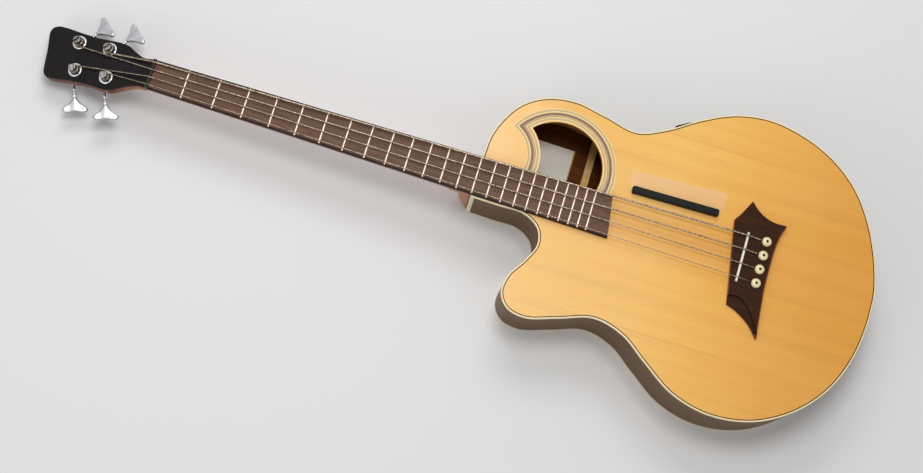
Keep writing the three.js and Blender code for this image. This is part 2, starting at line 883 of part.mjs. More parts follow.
function heelBody() {
  const foot = backZ(neckEndX) + heelFloorGap;
  const rings = heelLevelShares.map(([depthShare, filletShare, widthShare]) => heelRing(
    -neckDepthAtHeel * depthShare,
    heelReach + heelFillet * filletShare,
    heelTopHalfWidth * widthShare,
  ));
  heelFootShares.forEach(([depthShare, reachShare, widthShare]) => {
    const half = heelFootHalfWidth + (heelTopHalfWidth - heelFootHalfWidth)
      * (1 - depthShare) * 2;
    rings.push(heelRing(foot * depthShare, heelReach * reachShare, half * widthShare));
  });
  return loft(rings);
}

function headOutline() {
  const toHead = ([lengthShare, widthShare]) => [-lengthShare * headLength,
    widthShare * headHalfWidth];
  const middle = [...headBassEdgeShares, ...headEndShares, ...headTrebleEdgeShares].map(toHead);
  const bassRoot = [0, boardHalfWidthAtNut];
  const trebleRoot = [0, -boardHalfWidthAtNut];
  return smoothLine([bassRoot, ...middle, trebleRoot], stepsPerSpan);
}

function rodPocket(low, high) {
  return box(-rodPocketLength, overrun, -rodChannelHalfWidth, rodChannelHalfWidth, low, high);
}

function postHoles() {
  const holes = posts.map(({ along, across }) => {
    const hole = roundBar(bushingSleeveRadius + glueGap, -overrun, overrun, postFacets);
    return hole.translate(-along, across, 0);
  });
  return holes;
}

const bassKey = { splay: bassKeySplay, reach: bassKeyReach, tilt: bassKeyTilt };
const trebleKey = { splay: trebleKeySplay, reach: trebleKeyReach, tilt: trebleKeyTilt };
const posts = [
  { along: bassPostNear, across: postRowHalfSpacing, key: bassKey, name: 'e' },
  { along: bassPostFar, across: postRowHalfSpacing, key: bassKey, name: 'a' },
  { along: treblePostFar, across: -postRowHalfSpacing, key: trebleKey, name: 'd' },
  { along: treblePostNear, across: -postRowHalfSpacing, key: trebleKey, name: 'g' },
];

function addNeck() {
  const heelX = neckEndX - heelReach;
  const shaft = loft([
    shaftRing(headX - neckTailLength, neckDepthAtNut, -neckTailDrop, boardHalfWidthAtNut),
    shaftRing(headX, neckDepthAtNut, 0, boardHalfWidthAtNut),
    shaftRing(nutX, neckDepthAtNut, 0, boardHalfWidth(nutX)),
    shaftRing(heelX, neckDepthAtHeel, 0, boardHalfWidth(heelX)),
    shaftRing(neckEndX - glueGap, neckDepthAtHeel, 0, boardHalfWidth(neckEndX)),
  ]);
  const head = plate(headOutline(), -headThickness, 0);
  const rough = joined([shaft, heelBody(), head.applyMatrix4(headMatrix)]);
  const channel = box(headX, neckEndX - rodInset, -rodChannelHalfWidth, rodChannelHalfWidth,
    -rodChannelDepth, overrun);
  const pocket = rodPocket(-rodChannelDepth - headFaceRise, overrun).applyMatrix4(headMatrix);
  const aboveBoard = box(headX, neckEndX, -overrun, overrun, 0, overrun);
  const holes = postHoles().map((hole) => hole.applyMatrix4(headMatrix));
  addPiece('neck', cut(rough, [channel, pocket, aboveBoard, ...holes]), 'neckWood');

  const veneer = solidOf(plate(headOutline(), glueGap, glueGap + veneerThickness));
  const veneerPocket = rodPocket(-overrun, overrun);
  const face = addPiece('headstock_veneer', cut(veneer, [veneerPocket, ...postHoles()]),
    'blackLacquer', headGroup);
  const coverLow = face.position.z + 2 * glueGap + veneerThickness;
  const shoulder = -coverLength * coverShoulderShare;
  const outline = smoothLine([
    [-glueGap, coverHalfWidthAtNut], [shoulder / 2, coverHalfWidthAtNut],
    [shoulder, coverHalfWidth], [-coverLength, 0], [shoulder, -coverHalfWidth],
    [shoulder / 2, -coverHalfWidthAtNut], [-glueGap, -coverHalfWidthAtNut],
  ], stepsPerSpan * 2);
  addPiece('truss_rod_cover', plate(outline, coverLow, coverLow + coverThickness),
    'blackPlastic', headGroup);

  const rodEnd = neckEndX - rodInset - runGap;
  const rodStart = headX - rodReach;
  const rod = lathe([
    [0, 0], [rodNutRadius, 0], [rodNutRadius, rodNutLength], [rodRadius, rodNutLength],
    [rodRadius, rodEnd - rodStart], [0, rodEnd - rodStart],
  ], rodFacets);
  rod.rotateY(halfTurn / 2).translate(rodStart, 0, -rodDepth);
  addPiece('truss_rod', rod, 'steel');
}

// Tuners: each stands on its post's axis, x toward its key and the worm at one side

const headGroup = new THREE.Group();
headMatrix.decompose(headGroup.position, headGroup.quaternion, headGroup.scale);
instrument.add(headGroup);
const backFace = -headThickness - glueGap;
const wormAxisZ = backFace - plateThickness - runGap - wormTipRadius;
const wheelTop = wormAxisZ + wheelThickness / 2;
const centreDistance = wheelPitchRadius + wormPitchRadius;
const toothPitch = fullTurn * wheelPitchRadius / wheelTeeth;

function wheelOutline(side) {
  const tip = wheelPitchRadius + wheelTipHeight;
  const root = wheelPitchRadius - wheelRootDepth;
  const points = [];
  for (let tooth = 0; tooth < wheelTeeth; tooth += 1) {
    const middle = side * halfTurn / 2 + (tooth + 1 / 2) * fullTurn / wheelTeeth;
    const rootHalf = toothRootWidth / 2 / root;
    const tipHalf = toothTipWidth / 2 / tip;
    const corners = [[root, -rootHalf], [tip, -tipHalf], [tip, tipHalf], [root, rootHalf]];
    for (const [radius, angle] of corners) {
      points.push([radius * Math.cos(middle + angle), radius * Math.sin(middle + angle)]);
    }
  }
  return points;
}

function postSolid(side) {
  const faceTop = glueGap + veneerThickness;
  const collar = faceTop + glueGap + bushingThickness + runGap;
  const top = faceTop + postRise;
  const waist = collar + postEase + postEase;
  const cap = top - postCapHeight;
  const shaft = lathe([
    [0, wheelTop - wheelThickness],
    [postShaftRadius, wheelTop - wheelThickness],
    [postShaftRadius, backFace + glueGap],
    [postRadius, backFace + postCollarRise],
    [postRadius, collar + postEase],
    [postWaistRadius, waist],
    [postWaistRadius, cap],
    [postRadius, cap + postEase],
    [postRadius, top - postEase],
    [postRadius - postEase, top],
    [0, top],
  ], postFacets);
  const wheel = plate(wheelOutline(side), wheelTop - wheelThickness, wheelTop);
  const slot = box(-postRadius - postEase, postRadius + postEase, -postSlotWidth / 2,
    postSlotWidth / 2, cap, top + postEase);
  return cut(joined([shaft, wheel]), [slot]);
}

function bushingGeometry() {
  const low = glueGap + veneerThickness + glueGap;
  const high = low + bushingThickness;
  const bore = postRadius + runGap;
  return lathe([
    [bore, low - bushingSleeveLength],
    [bushingSleeveRadius, low - bushingSleeveLength],
    [bushingSleeveRadius, low],
    [bushingRadius, low],
    [bushingRadius, high - bushingChamfer],
    [bushingRadius - bushingChamfer, high],
    [bore, high],
    [bore, low - bushingSleeveLength],
  ], postFacets);
}

function plateSolid(side) {
  const wheelSide = -side * (wheelPitchRadius + wheelTipHeight + glueGap);
  const wormSide = side * (centreDistance + plateMargin);
  const low = Math.min(wheelSide, wormSide);
  const high = Math.max(wheelSide, wormSide);
  const base = plate(roundedRectangle(-plateBack, plateFront, low, high, plateCorner,
    plateCornerSteps), backFace - plateThickness, backFace);
  const inPlate = backFace - plateThickness / 2;
  const parts = [base, roundBar(plateBossRadius, wheelTop + runGap, inPlate, postFacets)];
  const foot = wormAxisZ - earDrop;
  for (const x of [-earOffset, earOffset]) {
    const y = side * centreDistance;
    parts.push(box(x - earThickness / 2, x + earThickness / 2, y - earHalfWidth,
      y + earHalfWidth, foot, inPlate));
  }
  const bore = roundBar(keyShaftRadius + runGap, -overrun, overrun, keyFacets);
  bore.rotateY(halfTurn / 2).translate(0, side * centreDistance, wormAxisZ);
  const postBore = roundBar(postShaftRadius + runGap, -overrun * 2, 0, postFacets);
  return cut(joined(parts), [bore, postBore]);
}

function wormRidge(side) {
  const steps = Math.round(wormTurns * wormStepsPerTurn);
  const facing = side > 0 ? halfTurn : 0;
  const inner = wormCoreRadius - runGap;
  const section = [
    [-wormRootWidth / 2, inner], [-wormTipWidth / 2, wormTipRadius],
    [wormTipWidth / 2, wormTipRadius], [wormRootWidth / 2, inner],
  ];
  const rings = [];
  for (let step = 0; step <= steps; step += 1) {
    const turn = (step / steps - 1 / 2) * wormTurns;
    const angle = facing + side * turn * fullTurn;
    rings.push(section.map(([along, radius]) => [
      turn * toothPitch + along,
      radius * Math.cos(angle),
      radius * Math.sin(angle),
    ]));
  }
  return loft(side > 0 ? rings.map((points) => points.reverse()) : rings);
}

function keyWing({ reach, tilt }) {
  const half = smoothLine(keyEdgeShares.map(([lengthShare, widthShare]) => [
    lengthShare * keyLength, widthShare * keyHalfWidth]), 1);
  const mirrored = half.map(([x, y]) => [x, -y]).reverse();
  const outline = [...mirrored, ...half].map(([x, y]) => [
    x + (x < keyLength / 2 ? keyBevel : -keyBevel), y - Math.sign(y) * keyBevel]);
  const wing = new THREE.ExtrudeGeometry(shapeOf(outline), {
    depth: keyThickness - 2 * keyBevel,
    bevelThickness: keyBevel,
    bevelSize: keyBevel,
    bevelSegments: 1,
  });
  wing.translate(reach, 0, -keyThickness / 2 + keyBevel);
  return wing.rotateX(tilt * degree);
}

function keySolid(side, key) {
  const earFace = earOffset + earThickness / 2;
  const start = -earFace - keyShaftTail;
  const collar = earFace + runGap;
  const barrel = collar + keyCollarLength + keyCollarLength;
  const shaft = lathe([
    [0, start],
    [keyShaftRadius, start],
    [keyShaftRadius, -earOffset + earThickness],
    [wormCoreRadius, -earOffset + earThickness],
    [wormCoreRadius, earOffset - earThickness],
    [keyShaftRadius, earOffset - earThickness],
    [keyShaftRadius, collar],
    [keyCollarRadius, collar],
    [keyCollarRadius, collar + keyCollarLength],
    [keyShaftRadius, collar + keyCollarLength],
    [keyShaftRadius, barrel],
    [keyBarrelRadius, barrel],
    [keyBarrelRadius, barrel + keyBarrelLength],
    [keyShaftRadius, barrel + keyBarrelLength],
    [keyShaftRadius, key.reach + keyLength / 2],
    [0, key.reach + keyLength / 2],
  ], keyFacets);
  shaft.rotateY(halfTurn / 2);
  return joined([shaft, wormRidge(side), keyWing(key)]);
}

function addTuners() {
  for (const { along, across, key, name } of posts) {
    const side = Math.sign(across);
    const turn = side * (halfTurn / 2 - key.splay * degree);
    const unit = new THREE.Group();
    unit.position.set(-along, across, 0);
    unit.rotation.z = turn;
    headGroup.add(unit);
    addPiece(`tuner_plate_${name}`, plateSolid(side), 'chrome', unit);
    addPiece(`tuner_bushing_${name}`, bushingGeometry(), 'chrome', unit);
    addPiece(`tuner_post_${name}`, postSolid(side), 'chrome', unit);
    const mesh = addPiece(`tuner_key_${name}`, keySolid(side, key), 'chrome', unit);
    mesh.position.set(0, side * centreDistance, wormAxisZ);
  }
}

// Strings: a ball end, a rise beside the pin, the speaking length and turns round the post

function tube(points, radii) {
  const rings = [];
  let up = new THREE.Vector3(0, 1, 0);
  points.forEach((point, index) => {
    const before = points[Math.max(index - 1, 0)];
    const after = points[Math.min(index + 1, points.length - 1)];
    const along = after.clone().sub(before).normalize();
    const across = up.clone().sub(along.clone().multiplyScalar(up.dot(along))).normalize();
    const third = along.clone().cross(across);
    up = across;
    const ringPoints = [];
    for (let side = 0; side < stringSides; side += 1) {
      const angle = fullTurn * side / stringSides;
      const spot = point.clone()
        .addScaledVector(across, radii[index] * Math.cos(angle))
        .addScaledVector(third, radii[index] * Math.sin(angle));
      ringPoints.push([spot.x, spot.y, spot.z]);
    }
    rings.push(ringPoints);
  });
  return loft(rings);
}

function windingPoints(index, entry) {
  const { along, across } = posts[index];
  const gauge = stringGauges[index];
  const radius = postWaistRadius + runGap + gauge / 2;
  const side = Math.sign(across);
  const inward = new THREE.Matrix4().copy(headMatrix).invert();
  const start = entry.clone().applyMatrix4(inward);
  const toEntryX = start.x + along;
  const toEntryY = start.y - across;
  const base = Math.atan2(toEntryY, toEntryX);
  const opening = Math.acos(radius / Math.hypot(toEntryX, toEntryY));
  const first = base - side * opening;
  const turns = windingTurns[index];
  const steps = Math.round(turns * windingStepsPerTurn);
  const collar = 2 * glueGap + veneerThickness + bushingThickness + runGap + 2 * postEase;
  const low = collar + windingRise + gauge / 2;
  const points = [];
  for (let step = 0; step <= steps; step += 1) {
    const turn = step / windingStepsPerTurn;
    const angle = first - side * turn * fullTurn;
    const point = new THREE.Vector3(
      -along + radius * Math.cos(angle),
      across + radius * Math.sin(angle),
      low + turn * (gauge + windingClearance),
    );
    points.push(point.applyMatrix4(headMatrix));
  }
  return points;
}

function leastTurnGap(points, gauge) {
  let least = Infinity;
  const skip = Math.round(windingStepsPerTurn / 2);
  for (let first = 0; first < points.length; first += 1) {
    for (let second = first + skip; second < points.length; second += 1) {
      least = Math.min(least, points[first].distanceTo(points[second]) - gauge);
    }
  }
  return least;
}

function addStrings() {
  stringGauges.forEach((gauge, index) => {
    const half = gauge / 2;
    const y = saddleStringY(index);
    const x = pinNotchX(index);
    const bridgeTop = glueGap + bridgeThickness;
    const ballTop = liningTop - bridgePlateThickness - runGap;
    const points = [];
    const radii = [];
    const place = (px, py, pz, radius) => {
      points.push(new THREE.Vector3(px, py, pz));
      radii.push(radius);
    };
    ballRadiusShares.forEach((share, step) => {
      const z = ballTop - 2 * ballRadius * (1 - step / (ballRadiusShares.length - 1));
      place(x, y, z, Math.max(ballRadius * share, half));
    });
    place(x, y, ballTop + runGap, half);
    place(x, y, bridgeTop - stringBend / 2, half);
    place(x - stringBend / 2, y, bridgeTop + half, half);
    place(x - 2 * stringBend, y, bridgeTop + half + stringBend * 3 / 4, half);
    place(saddleSetback + saddleThickness / 2, y, stringFloorAtSaddle + half - glueGap, half);
    place(saddleSetback, y, stringFloorAtSaddle + half, half);
    const nutY = nutStringY(index);
    place(nutX, nutY, stringFloorAtNut + half, half);
    const entry = new THREE.Vector3(nutX - nutLength, nutY, stringFloorAtNut + half);
    place(entry.x, entry.y, entry.z, half);
    const turns = windingPoints(index, entry);
    turns.forEach((point) => place(point.x, point.y, point.z, half));
    const name = `string_${stringNames[index]}`;
    console.log(`${name}: least gap between its turns ${leastTurnGap(turns, gauge).toFixed(3)} mm`);
    addPiece(name, tube(points, radii), 'steel');
  });
}

// Bridge, saddle, pickup strip and pins

function bridgeSpot([lengthShare, widthShare]) {
  return [lengthShare * bridgeLength - bridgeFromSaddle, widthShare * bridgeHalfWidth];
}

function bridgeOutline() {
  const spots = bridgeEdgeShares.map(bridgeSpot);
  const tipToTip = smoothLine(spots.slice(0, 4), stepsPerSpan);
  const tailSide = smoothLine(spots.slice(3, 10), stepsPerSpan);
  const footSide = smoothLine(spots.slice(9, 13), stepsPerSpan);
  return [...tipToTip, ...tailSide.slice(1), ...footSide.slice(1), spots[13]].reverse();
}

function addBridge() {
  const top = glueGap + bridgeThickness;
  const blank = solidOf(plate(bridgeOutline(), glueGap, top));
  const ledge = bridgeLedgeShares.map(bridgeSpot);
  const ledgeCurve = smoothLine(ledge.slice(0, 8), stepsPerSpan);
  const ledgeCut = plate([...ledgeCurve, ...ledge.slice(8)].reverse(),
    glueGap + bridgeLedgeThickness, top + overrun);
  const slopeStart = bridgeTipStartShare * bridgeHalfWidth;
  const slopeEnd = bridgeEdgeShares[0][1] * bridgeHalfWidth;
  const fall = (bridgeThickness - bridgeTipThickness) / (slopeEnd - slopeStart);
  const reach = slopeEnd + overrun;
  const tipCut = profileAlongX([
    [slopeStart, top],
    [reach, top - fall * (reach - slopeStart)],
    [reach, top + overrun],
    [slopeStart, top + overrun],
  ], -overrun, bridgeLength);
  const half = saddleThickness / 2 + glueGap;
  const slotFloor = top - saddleSlotDepth;
  const slot = box(saddleSetback - half, saddleSetback + half, -saddleLength / 2 - glueGap,
    saddleLength / 2 + glueGap, slotFloor, top + overrun);
  addPiece('bridge', cut(blank, [ledgeCut, tipCut, slot, ...pinCuts()]), 'rosewood');

  const stripLow = slotFloor + glueGap;
  addPiece('pickup_strip', box(
    saddleSetback - saddleThickness / 2,
    saddleSetback + saddleThickness / 2,
    -saddleLength / 2,
    saddleLength / 2,
    stripLow,
    stripLow + piezoThickness,
  ), 'copper');
  const saddleLow = stripLow + piezoThickness + glueGap;
  const saddleTop = stringFloorAtSaddle - runGap;
  const shoulder = saddleThickness / 2;
  const saddle = profileAlongX([
    [-saddleLength / 2, saddleLow], [saddleLength / 2, saddleLow],
    [saddleLength / 2, saddleTop - shoulder * 2], [saddleLength / 2 - shoulder, saddleTop],
    [-saddleLength / 2 + shoulder, saddleTop], [-saddleLength / 2, saddleTop - shoulder * 2],
  ], saddleSetback - saddleThickness / 2, saddleSetback + saddleThickness / 2);
  addPiece('saddle', saddle, 'bone');

  for (let index = 0; index < stringCount; index += 1) {
    const head = top + glueGap;
    const pin = lathe([
      [0, head - pinLength],
      [pinTipRadius, head - pinLength],
      [pinShankRadius, head],
      [pinHeadRadius, head],
      [pinHeadRadius, head + pinCollarHeight],
      [pinHeadRadius * pinDomeShare, head + pinHeadHeight - pinCollarHeight / 2],
      [pinHeadRadius * pinCrownShare, head + pinHeadHeight],
      [0, head + pinHeadHeight],
    ], pinFacets);
    pin.translate(pinSetback, saddleStringY(index), 0);
    addPiece(`bridge_pin_${stringNames[index]}`, pin, 'bone');
  }
}

const pinDomeShare = 0.8;
const pinCrownShare = 0.35;

function addThumbRest() {
  const half = thumbRestWidth / 2 - thumbRestBevel;
  const reach = thumbRestLength / 2 - thumbRestBevel;
  const outline = roundedRectangle(-reach, reach, -half, half, half, plateCornerSteps);
  const rest = new THREE.ExtrudeGeometry(shapeOf(outline), {
    depth: thumbRestHeight - 2 * thumbRestBevel,
    bevelThickness: thumbRestBevel,
    bevelSize: thumbRestBevel,
    bevelSegments: 1,
  });
  rest.translate(0, 0, thumbRestBevel + glueGap).rotateZ(thumbRestAngle * degree);
  rest.translate(-thumbRestFromSaddle, thumbRestTowardBass, 0);
  addPiece('thumb_rest', rest, 'blackPlastic');

  const low = thumbRestWidth / 2 + runGap;
  const side = thumbRestLength / 2 + filmOverhang;
  const film = plate([
    [side, low], [side - filmCorner, low + filmWidthAtTail], [side - 2 * filmCorner,
      low + filmWidthAtTail + filmCorner / 2], [-side + filmCorner, low + filmWidthAtNeck],
    [-side, low + filmWidthAtNeck - filmCorner], [-side, low],
  ], glueGap, glueGap + filmThickness);
  film.rotateZ(thumbRestAngle * degree);
  film.translate(-thumbRestFromSaddle, thumbRestTowardBass, 0);
  addPiece('thumb_rest_film', film, 'film');
}

// Preamp: a panel flush on the bass side, x along the side, y out of it and z up

function preampFrame() {
  const before = crossing(edge, -preampFromSaddle - preampLength / 2);
  const after = crossing(edge, -preampFromSaddle + preampLength / 2);
  const chord = Math.atan2(after[1] - before[1], preampLength);
  const angle = chord + preampTurn * degree;
  const y = crossing(edge, -preampFromSaddle)[1];
  return new THREE.Matrix4()
    .makeTranslation(-preampFromSaddle, y, 0)
    .multiply(new THREE.Matrix4().makeRotationZ(angle));
}

// How far the side stands out of the panel's plane, where the panel covers it

function preampBow() {
  const inward = preampFrame().invert();
  const half = preampLength / 2 + preampFlangeMargin;
  const outs = preampSampleShares.map((share) => {
    const x = -preampFromSaddle + share * half;
    return new THREE.Vector3(x, crossing(edge, x)[1], 0).applyMatrix4(inward).y;
  });
  return Math.max(...outs) + glueGap;
}

function preampCut() {
  const half = preampLength / 2 + runGap;
  const low = -preampDrop - preampHeight - runGap;
  const hole = box(-half, half, -preampDepth - overrun, overrun, low, -preampDrop + runGap);
  return hole.applyMatrix4(preampFrame());
}

// An outline in the panel's plane raised outward from the side

function outward(points, low, high) {
  const turn = new THREE.Matrix4().makeBasis(
    new THREE.Vector3(-1, 0, 0),
    new THREE.Vector3(0, 0, 1),
    new THREE.Vector3(0, 1, 0),
  );
  return plate(points.map(([x, z]) => [-x, z]).reverse(), low, high).applyMatrix4(turn);
}

function addPreamp() {
  const unit = new THREE.Group();
  preampFrame().decompose(unit.position, unit.quaternion, unit.scale);
  instrument.add(unit);
  const half = preampLength / 2;
  const top = -preampDrop;
  const low = top - preampHeight;
  const margin = preampFlangeMargin;
  const bow = preampBow();
  const flange = outward(roundedRectangle(-half - margin, half + margin, low - margin,
    top + margin, preampCorner, plateCornerSteps), bow, bow + preampFlange);
  const housing = outward(roundedRectangle(-half, half, low, top, preampWall,
    plateCornerSteps), bow - preampDepth, bow + preampFlange / 2);
  const face = bow + preampFlange;
  const knobZ = top - knobFromTop;
  const tools = [];
  const knobXs = knobNames.map((name, index) => (index - (knobCount - 1) / 2) * knobSpacing);
  for (const x of knobXs) {
    const bore = roundBar(knobShaftRadius + runGap, 0, overrun, knobFacets);
    const seat = roundBar(knobRadius + runGap, 0, overrun, knobFacets);
    const shaftHole = bore.rotateX(-halfTurn / 2);
    tools.push(shaftHole.translate(x, face - knobRecess - knobShaftLength - runGap, knobZ));
    tools.push(seat.rotateX(-halfTurn / 2).translate(x, face - knobRecess - runGap, knobZ));
  }
  const bayHalf = batteryLength / 2 + batteryPlay;
  const bayMiddle = top - batteryFromTop;
  const bayUp = bayMiddle + batteryHeight / 2 + batteryPlay;
  const bayLow = bayMiddle - batteryHeight / 2 - batteryPlay;
  const bayFloor = face - doorThickness - runGap - batteryDepth - 2 * batteryPlay;
  tools.push(box(-bayHalf, bayHalf, bayFloor, face + overrun, bayLow, bayUp));
  const doorHalf = bayHalf + doorMargin;
  const doorSeat = face - doorThickness - runGap;
  tools.push(box(-doorHalf - runGap, doorHalf + runGap, doorSeat, face + overrun,
    bayLow - doorMargin - runGap, bayUp + doorMargin + runGap));
  addPiece('preamp_panel', cut(joined([flange, housing]), tools), 'blackPlastic', unit);

  const innerFace = face - doorThickness - runGap - batteryPlay;
  addPiece('battery', box(
    -batteryLength / 2,
    batteryLength / 2,
    innerFace - batteryDepth,
    innerFace,
    bayMiddle - batteryHeight / 2,
    bayMiddle + batteryHeight / 2,
  ), 'steel', unit);
  const hingeZ = bayLow - doorMargin + doorThickness / 2;
  const doorTop = bayUp + doorMargin - hingeZ;
  const doorHalfThickness = doorThickness / 2;
  const leaf = box(-doorHalf, doorHalf, -doorHalfThickness, doorHalfThickness, 0, doorTop);
  const lip = box(-doorLatchWidth / 2, doorLatchWidth / 2, 0, doorThickness,
    doorTop - doorLipHeight, doorTop - runGap);
  const hinge = roundBar(doorHalfThickness, -doorHalf, doorHalf, knobFacets).rotateY(halfTurn / 2);
  const door = addPiece('battery_door', joined([leaf, lip, hinge]), 'blackPlastic', unit);
  door.position.set(0, face - doorHalfThickness, hingeZ);

  knobNames.forEach((name, index) => {
    const knob = solidOf(lathe([
      [0, -knobShaftLength - knobRecess],
      [knobShaftRadius, -knobShaftLength - knobRecess],
      [knobShaftRadius, -knobRecess],
      [knobRadius, -knobRecess],
      [knobRadius, knobHeight - knobChamfer],
      [knobRadius - knobChamfer, knobHeight],
      [0, knobHeight],
    ], knobFacets));
    const pointer = box(-knobPointerWidth / 2, knobPointerWidth / 2, -knobRadius - overrun, 0,
      knobHeight - knobPointerDepth, knobHeight + overrun);
    const mesh = addPiece(`knob_${name}`, cut(knob, [pointer]), 'blackPlastic', unit);
    mesh.rotation.x = -halfTurn / 2;
    mesh.position.set(knobXs[index], face, knobZ);
  });
}

function addJack() {
  const inside = -sideThickness - tailBlockLength - jackBarrelLength / 2;
  const jack = solidOf(lathe([
    [0, inside],
    [jackBarrelRadius, inside],
    [jackBarrelRadius, runGap],
    [jackFlangeRadius, runGap],
    [jackFlangeRadius, jackFlangeThickness],
    [jackNeckRadius, jackFlangeThickness * 2],
    [jackNeckRadius, jackHeadHeight - jackFlangeThickness],
    [jackHeadRadius, jackHeadHeight],
    [jackHeadRadius - jackFlangeThickness / 2, jackHeadHeight + jackFlangeThickness],
    [0, jackHeadHeight + jackFlangeThickness],
  ], jackFacets));
  const bore = roundBar(jackBoreRadius, jackHeadHeight + jackFlangeThickness - jackBoreDepth,
    jackHeadHeight + overrun, jackFacets);
  const mesh = addPiece('end_pin_jack', cut(jack, [bore]), 'chrome');
  mesh.rotation.y = halfTurn / 2;
  mesh.position.set(tailX, 0, backZ(tailX) / 2);
}

addBody();
addFrame();
addBraces();
addFingerboard();
addNeck();
addTuners();
addStrings();
addBridge();
addThumbRest();
addPreamp();
addJack();

// The origin is the point of the back under the nominal saddle line, and the back is level
const lean = Math.atan(backSlope);
const depthAtSaddle = -backZ(0);
instrument.rotation.y = -lean;
instrument.position.set(-depthAtSaddle * Math.sin(lean), 0, depthAtSaddle * Math.cos(lean));

export default instrument;
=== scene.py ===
import math

import bmesh
import bpy
import numpy as np
from mathutils import Matrix, Vector
from mathutils.geometry import tessellate_polygon


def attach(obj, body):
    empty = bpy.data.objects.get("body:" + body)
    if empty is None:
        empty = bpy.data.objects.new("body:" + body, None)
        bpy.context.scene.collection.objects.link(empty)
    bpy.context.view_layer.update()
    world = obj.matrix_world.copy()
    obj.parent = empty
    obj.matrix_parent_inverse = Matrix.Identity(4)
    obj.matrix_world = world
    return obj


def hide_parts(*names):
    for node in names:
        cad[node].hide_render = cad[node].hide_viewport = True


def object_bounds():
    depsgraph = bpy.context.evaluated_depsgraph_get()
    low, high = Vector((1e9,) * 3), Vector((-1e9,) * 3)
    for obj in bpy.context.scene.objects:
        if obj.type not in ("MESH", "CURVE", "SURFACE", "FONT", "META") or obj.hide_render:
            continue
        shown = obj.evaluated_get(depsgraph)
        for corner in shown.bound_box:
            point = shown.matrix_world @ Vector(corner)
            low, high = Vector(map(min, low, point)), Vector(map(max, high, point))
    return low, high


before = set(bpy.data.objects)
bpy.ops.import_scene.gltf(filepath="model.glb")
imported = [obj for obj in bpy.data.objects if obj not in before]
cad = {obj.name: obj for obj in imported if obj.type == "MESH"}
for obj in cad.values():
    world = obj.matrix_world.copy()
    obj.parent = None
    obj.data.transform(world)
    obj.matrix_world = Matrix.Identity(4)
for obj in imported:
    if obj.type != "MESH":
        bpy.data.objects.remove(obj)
cad_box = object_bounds()

# Sizes in millimetres, drawn in the soundboard's frame: x to the tail, y to the bass side, z up
NAMES = ["e", "a", "d", "g"]
GAUGES = [2.6, 2.1, 1.65, 1.2]
SCALE_LENGTH = 812.8
FRETS = 24
NUT_SPACING = 10.6
NUT_HALF = 20.5
NUT_DEPTH = 5
SADDLE_SPACING = 19.6
SADDLE_X = 6.5
SADDLE_SLOT = 5
PIN_X = 32.7
PIN_REACH = 5.2
BODY_LENGTH = 556
BODY_SHARE = 0.998
BOUT_WIDTH = 414
DEPTH_AT_NECK = 88
DEPTH_AT_TAIL = 112
TOP_THICKNESS = 3.6
BACK_THICKNESS = 3.2
SIDE_THICKNESS = 2.6
BINDING_WIDTH = 2.0
BINDING_HEIGHT = 6.0
TOP_BINDING = 3.3
PURFLING = 1.3
GAP = 0.2
RUN = 0.3
SHARP_COSINE = 0.8


def fret_x(fret):
    return -SCALE_LENGTH / 2 ** (fret / 12)


NUT_X = fret_x(0)
NECK_END = fret_x(14)
BOARD_END = fret_x(FRETS) + 26
BACK_SLOPE = (DEPTH_AT_TAIL - DEPTH_AT_NECK) / BODY_LENGTH
BOARD_TOP = 6.2 + GAP
STRING_AT_NUT = BOARD_TOP + 1.5
STRING_AT_SADDLE = STRING_AT_NUT + 2.0 * (SADDLE_X - NUT_X) / (fret_x(12) - NUT_X)
BRIDGE_TOP = GAP + 8
HEAD_X = NUT_X - NUT_DEPTH - GAP


def back_z(x):
    return -DEPTH_AT_NECK - BACK_SLOPE * (x - NECK_END)


def level(x):
    return 0.0


def board_half(x):
    return NUT_HALF + 8.8 * (x - NUT_X) / (BOARD_END - NUT_X)


def cutaway_y(x):
    """The body's edge beside the neck on the treble side."""
    return -board_half(x) - 2.4


def string_y(index, spacing):
    return (1.5 - index) * spacing


LEAN = math.atan(BACK_SLOPE)
DEPTH_AT_SADDLE = -back_z(0)
PLACE = (
    Matrix.Scale(0.001, 4)
    @ Matrix.Translation((-DEPTH_AT_SADDLE * math.sin(LEAN), 0, DEPTH_AT_SADDLE * math.cos(LEAN)))
    @ Matrix.Rotation(-LEAN, 4, "Y")
)
HEAD = PLACE @ Matrix.Translation((HEAD_X, 0, 2.1)) @ Matrix.Rotation(math.radians(-14), 4, "Y")

# Outlines


def arc(centre, radius, start, end, steps):
    """Points on a circle from one angle to another."""
    angles = [start + (end - start) * step / steps for step in range(steps + 1)]
    return [(centre[0] + radius * math.cos(a), centre[1] + radius * math.sin(a)) for a in angles]


def smooth_line(points, steps):
    """A centripetal curve through the points, as the solids use it, in finer steps."""
    pts = [np.array(p, float) for p in points]
    last = len(pts) - 1
    out = []
    for seg in range(last):
        p1, p2 = pts[seg], pts[seg + 1]
        p0 = pts[seg - 1] if seg > 0 else 2 * p1 - p2
        p3 = pts[seg + 2] if seg + 2 <= last else 2 * p2 - p1
        d0, d1, d2 = (math.sqrt(np.linalg.norm(b - a)) for a, b in ((p0, p1), (p1, p2), (p2, p3)))
        t1 = ((p1 - p0) / d0 - (p2 - p0) / (d0 + d1) + (p2 - p1) / d1) * d1
        t2 = ((p2 - p1) / d1 - (p3 - p1) / (d1 + d2) + (p3 - p2) / d2) * d1
        c2 = -3 * p1 + 3 * p2 - 2 * t1 - t2
        c3 = 2 * p1 - 2 * p2 + t1 + t2
        for step in range(steps):
            t = step / steps
            out.append(p1 + t1 * t + c2 * t * t + c3 * t ** 3)
    out.append(pts[last])
    return out


def closed_line(points, steps):
    line = smooth_line(points[-2:] + points + points[:2], steps)
    return line[2 * steps:(len(points) + 2) * steps]


